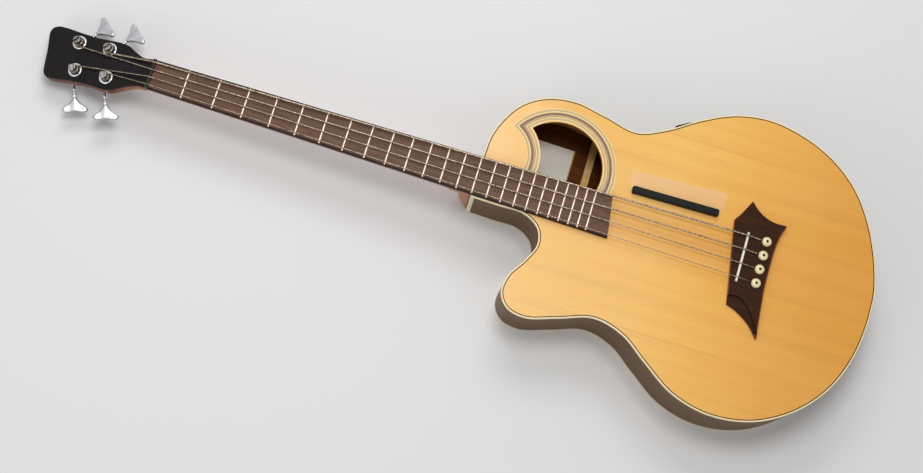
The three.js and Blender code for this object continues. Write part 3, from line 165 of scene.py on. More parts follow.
def inset(points, distance, fade=0.0):
    """The outline moved to its left, which is inward for a counter-clockwise one.

    With a fade, the move dies out towards sharp corners, so that slim tips stay uncrossed.
    """
    p = np.array(points, float)[:, :2]
    first = p - np.roll(p, 1, 0)
    second = np.roll(p, -1, 0) - p
    first /= np.linalg.norm(first, axis=1)[:, None]
    second /= np.linalg.norm(second, axis=1)[:, None]
    n1 = np.stack([-first[:, 1], first[:, 0]], 1)
    n2 = np.stack([-second[:, 1], second[:, 0]], 1)
    bend = (n1 * n2).sum(1)
    reach = distance / (1 + bend)
    if fade:
        corners = p[bend < SHARP_COSINE]
        away = np.linalg.norm(p[:, None] - corners[None], axis=2).min(1)
        reach = reach * np.minimum(1, away / fade)
    return p + (n1 + n2) * reach[:, None]


def raised(line, z, base=level):
    """The line's points at a height over the soundboard's face, or over the back's."""
    return [(x, y, base(x) + z) for x, y in line]


def stack(base, rows):
    """A profile's points, their second numbers counted from a base."""
    return [(first, base + second) for first, second in rows]


# The body's edge from the neck round to the cutaway, in shares of its length and width
EDGE_SHARES = [
    (0.004, 0.145), (0.022, 0.213), (0.054, 0.277), (0.106, 0.323), (0.178, 0.341),
    (0.257, 0.324), (0.34, 0.303), (0.408, 0.341), (0.484, 0.409), (0.563, 0.461),
    (0.649, 0.48), (0.739, 0.46), (0.822, 0.412), (0.892, 0.335), (0.946, 0.227),
    (0.984, 0.097), (0.998, 0), (0.997, -0.09), (0.982, -0.21), (0.945, -0.327),
    (0.879, -0.429), (0.79, -0.499), (0.685, -0.521), (0.588, -0.491), (0.505, -0.419),
    (0.439, -0.357), (0.365, -0.333), (0.281, -0.368), (0.207, -0.397), (0.16, -0.384),
    (0.136, -0.341), (0.14, -0.281), (0.167, -0.219), (0.186, -0.157), (0.175, -0.106),
]


def body_edge(steps):
    line = [(NECK_END, -cutaway_y(NECK_END))]
    line += [(NECK_END + a * BODY_LENGTH, b * BOUT_WIDTH) for a, b in EDGE_SHARES]
    for share in (0.134, 0.07, 0):
        x = NECK_END + share * BODY_LENGTH
        line.append((x, cutaway_y(x)))
    points = [np.array((NECK_END, 0.0))] + smooth_line(line, steps)
    return np.array(points[::-1])


EDGE = body_edge(14)
EDGE[:, 1] = np.clip(EDGE[:, 1], cad_box[0].y * 1000, cad_box[1].y * 1000)
EDGE[:, 0] = np.minimum(EDGE[:, 0], NECK_END + BODY_SHARE * BODY_LENGTH)


def edge_y(x):
    """The bass side's edge at a place along the body."""
    found = []
    for a, b in zip(EDGE, np.roll(EDGE, -1, 0)):
        if (a[0] - x) * (b[0] - x) < 0:
            found.append(a[1] + (b[1] - a[1]) * (x - a[0]) / (b[0] - a[0]))
    return max(found)


HOLE_CENTRE = (NECK_END + 98.6, 0.341 * BOUT_WIDTH - 95)
HOLE_RADIUS = 61.8
BITE_CENTRE = (HOLE_CENTRE[0] - 88.5, HOLE_CENTRE[1] - 8.5)
BITE_RADIUS = 65.6
HOLE_FLOOR = 22.0


def hole_line(growth):
    """The soundhole's outline grown by a distance, from the fingerboard to the bitten side."""
    radius, bite = HOLE_RADIUS + growth, BITE_RADIUS - growth
    dx, dy = BITE_CENTRE[0] - HOLE_CENTRE[0], BITE_CENTRE[1] - HOLE_CENTRE[1]
    apart = math.hypot(dx, dy)
    along = (apart ** 2 + radius ** 2 - bite ** 2) / (2 * apart)
    across = math.sqrt(radius ** 2 - along ** 2)
    corner_x = HOLE_CENTRE[0] + (along * dx + across * dy) / apart
    corner_y = HOLE_CENTRE[1] + (along * dy - across * dx) / apart
    start = math.asin((HOLE_FLOOR - HOLE_CENTRE[1]) / radius)
    end = math.atan2(corner_y - HOLE_CENTRE[1], corner_x - HOLE_CENTRE[0])
    bite_start = math.atan2(corner_y - BITE_CENTRE[1], corner_x - BITE_CENTRE[0])
    bite_end = math.asin((HOLE_FLOOR - BITE_CENTRE[1]) / bite)
    return (arc(HOLE_CENTRE, radius, start, end, 90)
            + arc(BITE_CENTRE, bite, bite_start, bite_end, 40)[1:])


# Objects and meshes


def set_up(thing, **settings):
    for key, value in settings.items():
        setattr(thing, key, value)
    return thing


def modify(obj, kind, **settings):
    set_up(obj.modifiers.new(kind.lower(), kind), **settings)


def soften(obj, width, angle):
    modify(obj, "BEVEL", width=width / 1000, segments=2, limit_method="ANGLE",
           angle_limit=math.radians(angle))


def put_in(name, data):
    """A new object in the scene."""
    obj = bpy.data.objects.new(name, data)
    bpy.context.scene.collection.objects.link(obj)
    return obj


def evaluated(obj, *helpers):
    """The mesh that the object's modifiers make. The object and its helpers go."""
    result = bpy.data.meshes.new_from_object(
        obj.evaluated_get(bpy.context.evaluated_depsgraph_get()))
    for used in (obj, *helpers):
        data = used.data
        bpy.data.objects.remove(used)
        bpy.data.meshes.remove(data)
    return result


def settled(mesh, merge=True):
    """The mesh with doubled points merged, faces without area gone and normals outward."""
    bm = bmesh.new()
    bm.from_mesh(mesh)
    if merge:
        bmesh.ops.remove_doubles(bm, verts=bm.verts, dist=1e-3)
        bmesh.ops.dissolve_degenerate(bm, edges=bm.edges, dist=1e-4)
    bmesh.ops.recalc_face_normals(bm, faces=bm.faces)
    bm.to_mesh(mesh)
    bm.free()
    mesh.update()
    return mesh


class Build:
    """Vertices and faces gathered for one piece, with a material number for each face."""

    def __init__(self):
        self.verts = []
        self.faces = []
        self.marks = []

    def add(self, verts, faces, mark=0, matrix=None):
        base = len(self.verts)
        for v in verts:
            self.verts.append(matrix @ Vector(v) if matrix else Vector(v))
        for f in faces:
            self.faces.append([base + i for i in f])
            self.marks.append(mark)
        return self

    def loft(self, rings, caps=True, closed=True, around=False, matrix=None):
        """Faces from each ring to the next, with caps at both ends, or round to the first ring."""
        count = len(rings[0])
        faces = []
        for first in range(len(rings) if around else len(rings) - 1):
            low, high = first * count, (first + 1) % len(rings) * count
            for side in range(count if closed else count - 1):
                nxt = (side + 1) % count
                faces.append([low + side, low + nxt, high + nxt, high + side])
        if caps and not around:
            top = (len(rings) - 1) * count
            faces += [list(range(count))[::-1], list(range(top, top + count))]
        return self.add([p for ring in rings for p in ring], faces, matrix=matrix)

    def lathe(self, profile, segments, matrix=None):
        """A profile of (radius, z) turned about z. Points on the axis become one vertex."""
        verts, rows = [], []
        for radius, z in profile:
            ring = arc((0, 0), radius, 0, 2 * math.pi, segments)[:-1] if radius else [(0, 0)]
            rows.append([len(verts) + s % len(ring) for s in range(segments)])
            verts += [(x, y, z) for x, y in ring]
        faces = []
        for low, high in zip(rows, rows[1:]):
            for s in range(segments):
                n = (s + 1) % segments
                face = list(dict.fromkeys([low[s], low[n], high[n], high[s]]))
                if len(face) > 2:
                    faces.append(face)
        return self.add(verts, faces, matrix=matrix)

    def tube(self, points, radii, sides=12):
        """A round bar along points, with frames carried along without twist."""
        up = Vector((0, 1, 0.01))
        rings = []
        for i, (point, radius) in enumerate(zip(points, radii)):
            along = (points[min(i + 1, len(points) - 1)] - points[max(i - 1, 0)]).normalized()
            across = (up - along * up.dot(along)).normalized()
            third = along.cross(across)
            up = across
            angles = [2 * math.pi * s / sides for s in range(sides)]
            rings.append([point + across * radius * math.cos(a) + third * radius * math.sin(a)
                          for a in angles])
        return self.loft(rings)

    def box(self, x0, x1, y0, y1, z0, z1, matrix=None):
        return self.loft([[(x0, y0, z), (x1, y0, z), (x1, y1, z), (x0, y1, z)]
                          for z in (z0, z1)], matrix=matrix)

    def slab(self, outline, low, high, top=0.0, foot=0.0, segments=4, fade=0.0, matrix=None,
             edge_mark=0):
        """A plate of an outline with rounded edges, whose wall may have its own mark."""
        outline = np.array(outline, float)[:, :2]
        ahead = np.roll(outline, -1, 0)
        if (outline[:, 0] * ahead[:, 1] - ahead[:, 0] * outline[:, 1]).sum() < 0:
            outline = outline[::-1]
        turns = [(1 - math.sin(a), 1 - math.cos(a))
                 for a in (math.pi / 2 * k / segments for k in range(segments + 1))]
        rows = [(foot * s, low + foot * c) for s, c in turns] if foot else [(0, low)]
        rows += [(top * c, high - top * s) for s, c in turns] if top else [(0, high)]
        start = len(self.marks)
        self.loft([[(x, y, z) for x, y in inset(outline, d, fade)] for d, z in rows],
                  matrix=matrix)
        for k in range(start, len(self.marks) - 2):
            self.marks[k] = edge_mark
        return self

    def sheet(self, outlines, z, base=level, mark=0):
        """A face with holes: the first outline is the edge, the others are holes."""
        loops = [[Vector((x, y, 0)) for x, y in line] for line in outlines]
        flat = [(p.x, p.y) for loop in loops for p in loop]
        return self.add(raised(flat, z, base), [list(t) for t in tessellate_polygon(loops)], mark)

    def mesh(self, name, merge=True):
        mesh = bpy.data.meshes.new(name)
        mesh.from_pydata([tuple(v) for v in self.verts], [], self.faces)
        for _ in range(max(self.marks) + 1):
            mesh.materials.append(None)
        mesh.polygons.foreach_set("material_index", self.marks)
        return settled(mesh, merge)


def carved(build, *tools, op="DIFFERENCE"):
    """The build's mesh with each tool's mesh cut away from it, or joined to it."""
    base = put_in("carving", build.mesh("carving"))
    cutters = [put_in("tool", tool.mesh("tool")) for tool in tools]
    for cutter in cutters:
        modify(base, "BOOLEAN", operation=op, solver="EXACT", object=cutter)
    return settled(evaluated(base, *cutters))


def piece(name, build, materials, replaces=None, body="root", place=PLACE, angle=35,
          bevel=0.0):
    """One visible piece: its mesh goes to its place, then it gets its finish and its body."""
    mesh = build.mesh(name) if isinstance(build, Build) else build
    mesh.transform(place)
    mesh.shade_smooth()
    mesh.set_sharp_from_angle(angle=math.radians(angle))
    obj = put_in(name, mesh)
    for number, mat in enumerate(materials if isinstance(materials, list) else [materials]):
        if number < len(mesh.materials):
            mesh.materials[number] = mat
        else:
            mesh.materials.append(mat)
    if bevel:
        soften(obj, bevel, 32)
    modify(obj, "WEIGHTED_NORMAL", keep_sharp=True, weight=80)
    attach(obj, body)
    if replaces:
        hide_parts(replaces)


def dress(node, mat, bevel=0.0):
    """A solid of the frame that stays in view: its finish, and small worn edges."""
    obj = cad[node]
    obj.data.materials.clear()
    obj.data.materials.append(mat)
    modify(obj, "WELD", merge_threshold=1e-6)
    if bevel:
        soften(obj, bevel, 35)


# Materials


def tone(value):
    """A colour of three screen values from 0 to 255, made linear. Anything else stays as it is."""
    if not isinstance(value, tuple) or len(value) > 3:
        return value
    shares = [v / 255 for v in value]
    return (*(v / 12.92 if v <= 0.04045 else ((v + 0.055) / 1.055) ** 2.4 for v in shares), 1.0)


class Graph:
    """Short calls for the nodes of a node tree."""

    def __init__(self, tree):
        self.tree = tree

    def node(self, kind, inputs=None, **props):
        """A node whose inputs are set to values or fed by other nodes' outputs."""
        node = set_up(self.tree.nodes.new("ShaderNode" + kind), **props)
        for key, value in (inputs or {}).items():
            if isinstance(value, bpy.types.NodeSocket):
                self.tree.links.new(value, node.inputs[key])
            else:
                node.inputs[key].default_value = value
        return node

    def out(self, kind, inputs=None, **props):
        return self.node(kind, inputs, **props).outputs[0]


class Shader(Graph):
    """A material with its Principled shader, drawn in Object coordinates."""

    def __init__(self, name, **values):
        self.mat = bpy.data.materials.new(name)
        self.mat.use_nodes = True
        super().__init__(self.mat.node_tree)
        self.bsdf = self.tree.nodes["Principled BSDF"]
        for key, value in values.items():
            self.bsdf.inputs[key.replace("_", " ")].default_value = value
        self.coords = self.node("TexCoord").outputs["Object"]

    def axes(self, coords=None):
        return self.node("SeparateXYZ", {0: coords or self.coords}).outputs

    def noise(self, scale, detail=3.0, roughness=0.5, distortion=0.0):
        stretch = scale if isinstance(scale, tuple) else (scale,) * 3
        return self.out("TexNoise", {
            "Vector": self.out("Mapping", {"Vector": self.coords, "Scale": stretch}),
            "Scale": 1.0, "Detail": detail, "Roughness": roughness, "Distortion": distortion})

    def math(self, op, a, b=0.0):
        return self.out("Math", {0: a, 1: b}, operation=op)

    def blend(self, first, second, share):
        return self.math("ADD", self.math("MULTIPLY", first, share),
                         self.math("MULTIPLY", second, 1 - share))

    def spread(self, source, low, high, to_low=0.0, to_high=1.0):
        return self.out("MapRange", {0: source, 1: low, 2: high, 3: to_low, 4: to_high})

    def ramp(self, source, stops):
        """The colours of a value, each given at its place."""
        node = self.node("ValToRGB", {0: source})
        elements = node.color_ramp.elements
        while len(elements) < len(stops):
            elements.new(0.5)
        for element, (at, colour) in zip(elements, stops.items()):
            set_up(element, position=at, color=tone(colour))
        return node.outputs[0]

    def mix(self, factor, first, second, mode="MIX"):
        return self.out("MixRGB", {0: factor, 1: tone(first), 2: tone(second)}, blend_type=mode)

    def bump(self, height, strength, distance=0.0002):
        normal = self.out("Bump", {"Height": height, "Strength": strength, "Distance": distance})
        self.tree.links.new(normal, self.bsdf.inputs["Normal"])

    def finish(self, colour, rough):
        self.tree.links.new(colour, self.bsdf.inputs["Base Color"])
        self.tree.links.new(rough, self.bsdf.inputs["Roughness"])
        return self.mat


def wood(name, stops, rough, fine=(7, 700, 700), broad=(2, 55, 55), share=0.5, pores=0.0,
         bump=0.15, specular=0.15, painted_shade=None):
    """Wood whose grain runs along x: fine streaks over broad ones, with pores cut into them.

    Its last argument is a painted shade: a colour that darkens the wood from its second x to its
    first.
    """
    s = Shader(name, Specular_IOR_Level=specular)
    fine_fac = s.noise(fine, 4, 0.6, 0.3)
    broad_fac = s.noise(broad, 3, 0.5, 0.6)
    colour = s.ramp(s.spread(s.blend(fine_fac, broad_fac, share), 0.3, 0.7), stops)
    height = fine_fac
    if pores:
        dark = s.spread(s.noise((60, 1600, 1600), 2, 0.5), 0.36, 0.42)
        depth = s.math("MULTIPLY", s.math("SUBTRACT", 1.0, dark), pores)
        colour = s.mix(depth, colour, stops[0], "MULTIPLY")
        height = s.math("MULTIPLY", dark, fine_fac)
    # Painted shade: the wood darkens from one x to another.
    if painted_shade:
        full, none, hue = painted_shade
        colour = s.mix(s.spread(s.axes()["X"], full, none, 1.0, 0.0), colour, hue, "MULTIPLY")
    s.bump(height, bump, 0.0003)
    return s.finish(colour, s.spread(broad_fac, 0.3, 0.7, rough - 0.05, rough + 0.05))


def plain(name, base, other, rough, scale=220, bump=0.05, metallic=0.0, coat=0.0, specular=0.5,
          drift=0.05):
    """A finish whose colour and gloss drift a little over the surface."""
    s = Shader(name, Metallic=metallic, Coat_Weight=coat, Coat_Roughness=0.08,
               Specular_IOR_Level=specular)
    fac = s.noise(scale, 4, 0.6, 0.2)
    cloud = s.noise(scale / 9, 2, 0.5)
    colour = s.ramp(s.spread(s.blend(fac, cloud, 0.6), 0.35, 0.65), {0: other, 1: base})
    s.bump(fac, bump)
    return s.finish(colour, s.spread(cloud, 0.3, 0.7, rough - drift, rough + drift))


def spruce_material():
    """A golden top: paler by the neck and deeper to the tail, partly its own tone and partly
    painted light that falls off towards the tail; painted string shade along the centre; quiet
    grain and some silk.
    """
    s = Shader("spruce", Coat_Weight=0.1, Coat_Roughness=0.2, Specular_IOR_Level=0.25)
    halves = s.axes()
    s.coords = s.out("CombineXYZ", {0: halves["X"], 1: s.math("ABSOLUTE", halves["Y"]),
                                    2: halves["Z"]})
    x, y, _ = s.axes()
    lines = s.noise((3, 560, 1), 3, 0.55, 0.15)
    bands = s.noise((1.2, 60, 1), 2, 0.5, 0.3)
    silk = s.noise((45, 16, 1), 3, 0.6, 1.2)
    wide = s.noise((2.5, 6, 1), 2, 0.5, 0.5)
    # Paler by the neck, deeper to the tail: partly the wood's own tone, partly painted light
    # falling off from the neck end towards the tail.
    colour = s.ramp(s.spread(x, -0.36, 0.19), {
        0: (252, 208, 142), 0.18: (243, 189, 100), 0.45: (243, 191, 101),
        0.62: (238, 178, 80), 0.85: (226, 161, 66), 1: (224, 157, 64)})
    grain = s.ramp(s.spread(s.blend(lines, bands, 0.5), 0.36, 0.64), {
        0: (242, 236, 228), 0.5: (250, 248, 244), 1: (255, 255, 255)})
    colour = s.mix(1.0, colour, grain, "MULTIPLY")
    colour = s.mix(s.spread(silk, 0.45, 0.75, 0.0, 0.1), colour, (224, 160, 78))
    colour = s.mix(s.spread(wide, 0.4, 0.7, 0.0, 0.14), colour, (250, 206, 136))
    # Deeper along the centre under the strings: painted shade of the strings, partly the wood's
    # own tone by the joint.
    colour = s.mix(s.spread(y, 0.012, 0.045, 0.35, 0.0), colour, (224, 154, 74))
    colour = s.mix(s.spread(y, 0.0002, 0.0006, 0.25, 0.0), colour, (180, 120, 60))
    s.bump(lines, 0.04)
    return s.finish(colour, s.spread(bands, 0.3, 0.7, 0.32, 0.4))


def rope_material():
    """Slanted dark and pale checks along a rope band, from the band's own lengths."""
    s = Shader("rosette_rope", Specular_IOR_Level=0.4)
    u, v, _ = s.axes(s.node("UVMap").outputs["UV"])
    slant = s.math("ADD", s.math("MULTIPLY", u, 1 / 2.2), s.math("MULTIPLY", v, 0.33))
    wave = s.math("FRACT", slant)
    fac = s.math("SUBTRACT", s.spread(wave, 0.42, 0.5), s.spread(wave, 0.92, 1.0))
    speck = s.noise(900, 2, 0.5)
    dark = s.mix(speck, (100, 70, 44), (150, 110, 70))
    pale = s.mix(speck, (230, 200, 140), (244, 218, 158))
    return s.finish(s.mix(fac, dark, pale), s.spread(speck, 0, 1, 0.35, 0.45))


def label_material():
    """Plain paper with a gilt line along its tail edge."""
    s = Shader("label_paper", Specular_IOR_Level=0.2)
    fac = s.noise(260, 4, 0.6, 0.2)
    paper = s.ramp(s.spread(fac, 0.35, 0.65), {0: (243, 235, 224), 1: (251, 245, 236)})
    gilt = s.spread(s.axes()["X"], -0.2420, -0.2416)
    s.bump(fac, 0.03)
    return s.finish(s.mix(gilt, paper, (214, 170, 70)), s.spread(fac, 0.3, 0.7, 0.84, 0.94))


def string_material(name, pitch, base, other):
    """A wound string: rings at a pitch in millimetres, and a drifting tone."""
    s = Shader(name, Metallic=1.0)
    wave = s.node("TexWave", {"Vector": s.coords, "Scale": 1000 / pitch / 20, "Distortion": 0.0,
                              "Detail": 0.0},
                  wave_type="BANDS", bands_direction="X", wave_profile="SIN")
    s.bump(wave.outputs["Fac"], 0.5)
    fac = s.noise(300, 3, 0.6)
    colour = s.ramp(s.spread(fac, 0.35, 0.65), {0: other, 1: base})
    return s.finish(colour, s.spread(fac, 0.3, 0.7, 0.2, 0.3))


def film_material():
    s = Shader("clear_film", Alpha=0.12, Specular_IOR_Level=0.4)
    fac = s.noise(120, 2, 0.5)
    s.bump(fac, 0.02)
    return s.finish(s.ramp(fac, {0.3: (252, 236, 208), 0.7: (255, 242, 218)}),
                    s.spread(fac, 0.3, 0.7, 0.26, 0.34))


SPRUCE = spruce_material()
WALNUT = {0: (70, 46, 23), 0.45: (98, 70, 39), 1: (122, 92, 55)}
SIDE = wood("side_wood", WALNUT, 0.42, (8, 8, 420), (4, 4, 45), 0.45, specular=0.1)
BACK = wood("back_wood", WALNUT, 0.42, (6, 500, 500), (1.5, 40, 40), 0.45, 0.25, specular=0.1)
INNER_DARK = wood("inner_back_wood", {0: (62, 26, 9), 0.5: (98, 51, 20), 1: (128, 76, 34)}, 0.7,
                  bump=0.1, specular=0.08)
INNER = wood("brace_wood", {0: (206, 156, 94), 0.5: (230, 186, 120), 1: (244, 206, 146)}, 0.75,
             (9, 420, 420), (3, 60, 60), bump=0.12)
# The neck's wood is painted darker over the headstock: painted shade, where less light falls on
# the head.
NECK = wood("neck_wood", {0: (122, 74, 50), 0.45: (176, 118, 88), 1: (204, 146, 114)}, 0.38,
            (9, 520, 520), (3, 70, 70), pores=0.2, painted_shade=(-0.862, -0.826, (0.37, 0.3, 0.28, 1.0)))
BOARD = wood("board_wood", {0: (66, 44, 34), 0.45: (102, 73, 58), 1: (128, 97, 81)}, 0.5,
             (10, 640, 640), (2.5, 110, 110), 0.6, 0.45, bump=0.25)
# Near-black rosewood for the board's sides and the strips along its top edges: painted shade of
# the shoulders and of the outer strings' shadows.
BOARD_SHADE = wood("board_shade", {0: (18, 4, 6), 0.5: (34, 11, 12), 1: (52, 22, 21)}, 0.45,
                  pores=0.3, specular=0.1)
ROSEWOOD = wood("bridge_wood", {0: (34, 15, 6), 0.45: (50, 26, 11), 1: (70, 40, 20)}, 0.45,
                (10, 560, 560), (3, 80, 80), 0.55, 0.3, specular=0.07)
# A paler red-brown for the bridge's walls and rounded rim: a painted highlight along the bevel.
BRIDGE_RIM_SHEEN = wood("bridge_rim_sheen", {0: (92, 44, 18), 0.45: (126, 68, 32), 1: (150, 90, 48)},
                   0.4, (10, 560, 560), (3, 80, 80), 0.55, 0.2)
TAN = wood("rosette_tan", {0: (190, 150, 104), 1: (222, 184, 132)}, 0.4)
RED_LINE = plain("red_veneer", (96, 26, 22), (62, 16, 14), 0.4, specular=0.2)
CREAM = plain("cream_binding", (246, 228, 184), (234, 210, 158), 0.3, 60, 0.02, specular=0.3)
BACK_CREAM = plain("back_binding", (244, 232, 204), (228, 212, 176), 0.35, 60, 0.02, specular=0.3)
BLACK_LINE = plain("purfling", (20, 13, 9), (12, 8, 5), 0.4, specular=0.05)
BONE = plain("pin_cream", (240, 226, 178), (222, 204, 150), 0.28, 150, 0.03, coat=0.3)
SADDLE = plain("saddle_bone", (250, 244, 230), (236, 226, 206), 0.35, 150, 0.03)
LACQUER = plain("black_lacquer", (26, 23, 22), (18, 16, 15), 0.38, 500, 0.04, specular=0.14)
COVER = plain("cover_black", (20, 14, 22), (12, 8, 14), 0.22, 200, 0.02, coat=0.08, specular=0.16)
BLACK = plain("black_plastic", (20, 19, 18), (12, 12, 12), 0.45, 900, 0.12, specular=0.12)
KNOB = plain("knob_grey", (62, 61, 62), (46, 45, 46), 0.5, 500, 0.06, specular=0.2)
NUT = plain("nut_black", (44, 39, 37), (28, 25, 24), 0.4, 300, 0.05, specular=0.2)
CHROME = plain("chrome", (214, 214, 216), (196, 196, 200), 0.12, 120, 0.01, 1.0, drift=0.03)
POST_CHROME = plain("post_chrome", (164, 162, 160), (122, 120, 118), 0.16, 160, 0.02, 1.0,
                    drift=0.04)
SATIN = plain("satin_chrome", (184, 184, 187), (168, 168, 172), 0.4, 150, 0.02, 1.0, drift=0.04)
STEEL = plain("steel", (190, 190, 192), (160, 160, 164), 0.32, 300, 0.05, 1.0)
FRET = plain("fret_metal", (228, 207, 196), (208, 185, 172), 0.46, 240, 0.03, 1.0)
COPPER = plain("pickup_copper", (196, 122, 76), (160, 92, 54), 0.35, 260, 0.04, 1.0)
PURPLE = plain("rosette_dark", (128, 98, 76), (86, 58, 48), 0.4, 700, 0.05)
PALE = plain("rosette_pale", (250, 226, 160), (238, 206, 132), 0.35, 200, 0.02)
PAPER = label_material()
WOUND = string_material("wound_string", 0.55, (160, 146, 128), (98, 85, 72))
ROPE = rope_material()
FILM = film_material()

# Body


def edge_ring(profile, base=level):
    """A band round the body from a profile of (inset, height)."""
    return Build().loft([raised(inset(EDGE, distance), z, base) for distance, z in profile],
                        around=True)


ROSETTE_START = 1.2
ROSETTE_END = 18.2
ROSETTE_DEPTH = 0.8
ROSETTE_FINISHES = [PALE, ROPE, PURPLE, TAN]
ROSETTE_BANDS = [
    (2.3, PALE), (5.4, ROPE), (6.5, PALE), (7.2, PURPLE), (9.2, TAN), (12.4, PURPLE), (13.3, TAN),
    (14.5, PALE), (17.4, ROPE), (18.18, PALE),
]


def make_soundboard():
    """The top as one solid, with its hole and the groove that the rosette lies in."""
    outer = inset(EDGE, BINDING_WIDTH + PURFLING)
    hole, margin, rim = (hole_line(growth) for growth in (0.0, ROSETTE_START, ROSETTE_END))
    top = Build()
    top.sheet([outer, rim + [margin[-1], hole[-1], hole[0], margin[0]]], 0)
    top.sheet([outer, hole], -TOP_THICKNESS, mark=1)
    for line in (outer, hole):
        top.loft([raised(line, 0), raised(line, -TOP_THICKNESS)], caps=False)
    top.loft([raised(hole, 0), raised(margin, 0), raised(margin, -ROSETTE_DEPTH),
              raised(rim, -ROSETTE_DEPTH), raised(rim, 0)], caps=False, closed=False)
    for end in (0, -1):
        ends = [margin[end], rim[end]]
        top.add(raised(ends, 0) + raised(ends[::-1], -ROSETTE_DEPTH), [[0, 1, 2, 3]])
    piece("soundboard_plate", top, [SPRUCE, INNER], "soundboard")


def make_rosette():
    """The rosette's bands as one inlay, whose UVs are lengths along and across them."""
    growths = [ROSETTE_START + 0.02] + [growth for growth, _ in ROSETTE_BANDS]
    lines = [hole_line(growth) for growth in growths]
    rings = []
    for spots in zip(*lines):
        under = [(*spot, 0.05 - ROSETTE_DEPTH) for spot in (spots[-1], spots[0])]
        rings.append([(*spot, 0.0) for spot in spots] + under)
    rosette = Build().loft(rings)
    count = len(rings[0])
    for k in range(len(rings) - 1):
        for side, (_, mat) in enumerate(ROSETTE_BANDS):
            rosette.marks[k * count + side] = ROSETTE_FINISHES.index(mat)
    mesh = rosette.mesh("rosette_bands", merge=False)
    lengths = []
    for line in lines + [lines[-1], lines[0]]:
        steps = np.linalg.norm(np.diff(np.array(line), axis=0), axis=1)
        lengths.append(np.concatenate([[0.0], np.cumsum(steps)]))
    growths += [growths[-1], growths[0]]
    layer = mesh.uv_layers.new(name="bands")
    for loop in mesh.loops:
        k, side = divmod(loop.vertex_index, count)
        layer.data[loop.index].uv = (lengths[side][k], growths[side])
    piece("rosette_bands", mesh, ROSETTE_FINISHES, "rosette")


def make_edges():
    """Bindings along the top's and the back's edge, the dark line inside, and the back."""
    inside = BINDING_WIDTH + PURFLING
    edge = edge_ring([(0, -TOP_BINDING), (0, -0.8), (0.1, -0.4), (0.4, -0.1), (0.8, 0),
                      (BINDING_WIDTH, 0), (BINDING_WIDTH, -TOP_BINDING)])
    piece("top_edge_binding", edge, CREAM, "top_binding")
    line = edge_ring([(BINDING_WIDTH, 0), (inside, 0), (inside, -1.2), (BINDING_WIDTH, -1.2)])
    piece("top_purfling", line, BLACK_LINE)
    low = edge_ring([(0, BINDING_HEIGHT), (BINDING_WIDTH, BINDING_HEIGHT), (BINDING_WIDTH, 0),
                     (0.9, 0), (0.35, 0.12), (0.08, 0.45), (0, 1)], back_z)
    piece("back_edge_binding", low, BACK_CREAM, "back_binding")
    edge = inset(EDGE, BINDING_WIDTH)
    back = Build().sheet([edge], BACK_THICKNESS, back_z, mark=1).sheet([edge], 0.05, back_z)
    back.loft([raised(edge, z, back_z) for z in (BACK_THICKNESS, 0.05)], caps=False)
    piece("back_panel", back, [BACK, INNER_DARK], "back_plate")


PREAMP_X = -91
PREAMP_HALF = 33
PREAMP_TOP = -11
PREAMP_HEIGHT = 46
PREAMP_TURN = -1


def wall(path):
    """One half of the side as a solid along the edge, its inner face marked 1."""
    inner = inset(EDGE, SIDE_THICKNESS)
    rings = []
    for i in path:
        (ox, oy), (ix, iy) = EDGE[i], inner[i]
        rings.append([(ox, oy, -TOP_BINDING), (ox, oy, back_z(ox) + BINDING_HEIGHT),
                      (ix, iy, back_z(ix) + BINDING_HEIGHT), (ix, iy, -TOP_BINDING)])
    build = Build().loft(rings)
    for k in range(len(rings) - 1):
        build.marks[4 * k + 2] = 1
    return build


def make_sides():
    """Both halves of the side, with a way through the bass half for the preamp."""
    count = len(EDGE)
    tail = int(np.argmax(EDGE[:, 0] - np.abs(EDGE[:, 1])))
    treble = wall([count - 1] + list(range(tail + 1)))
    piece("side_treble_wall", treble, [SIDE, INNER_DARK], "side_treble")
    rise = edge_y(PREAMP_X + PREAMP_HALF) - edge_y(PREAMP_X - PREAMP_HALF)
    turn = math.atan2(rise, 2 * PREAMP_HALF) + math.radians(PREAMP_TURN)
    at = Matrix.Translation((PREAMP_X, edge_y(PREAMP_X), 0)) @ Matrix.Rotation(turn, 4, "Z")
    way = Build().box(-PREAMP_HALF - RUN, PREAMP_HALF + RUN, -20, 20,
                      PREAMP_TOP - PREAMP_HEIGHT - RUN, PREAMP_TOP + RUN, matrix=at)
    bass = carved(wall(range(tail, count)), way)
    piece("side_bass_wall", bass, [SIDE, INNER_DARK], "side_bass")

    rings = []
    for along, proud in ((0, 0.02), (0.4, 0.2), (5.2, 0.2), (5.6, 0.02)):
        x = NECK_END + along
        y, foot = cutaway_y(x), back_z(x) + BINDING_HEIGHT
        rings.append([(x, y - proud, -TOP_BINDING), (x, y - proud, foot),
                      (x, y + 0.6, foot), (x, y + 0.6, -TOP_BINDING)])
    piece("neck_end_strip", Build().loft(rings), BACK_CREAM)


# Fingerboard, frets and nut

BOARD_RADIUS = 420
BOARD_SLANT = 0.149
# EDGE_STRIP: the width of the painted-shade strip along each edge of the board's top.
EDGE_STRIP = 2.0
WIRE_SPOTS = 23


def crown(y):
    return BOARD_TOP - BOARD_RADIUS + math.sqrt(BOARD_RADIUS ** 2 - y ** 2)


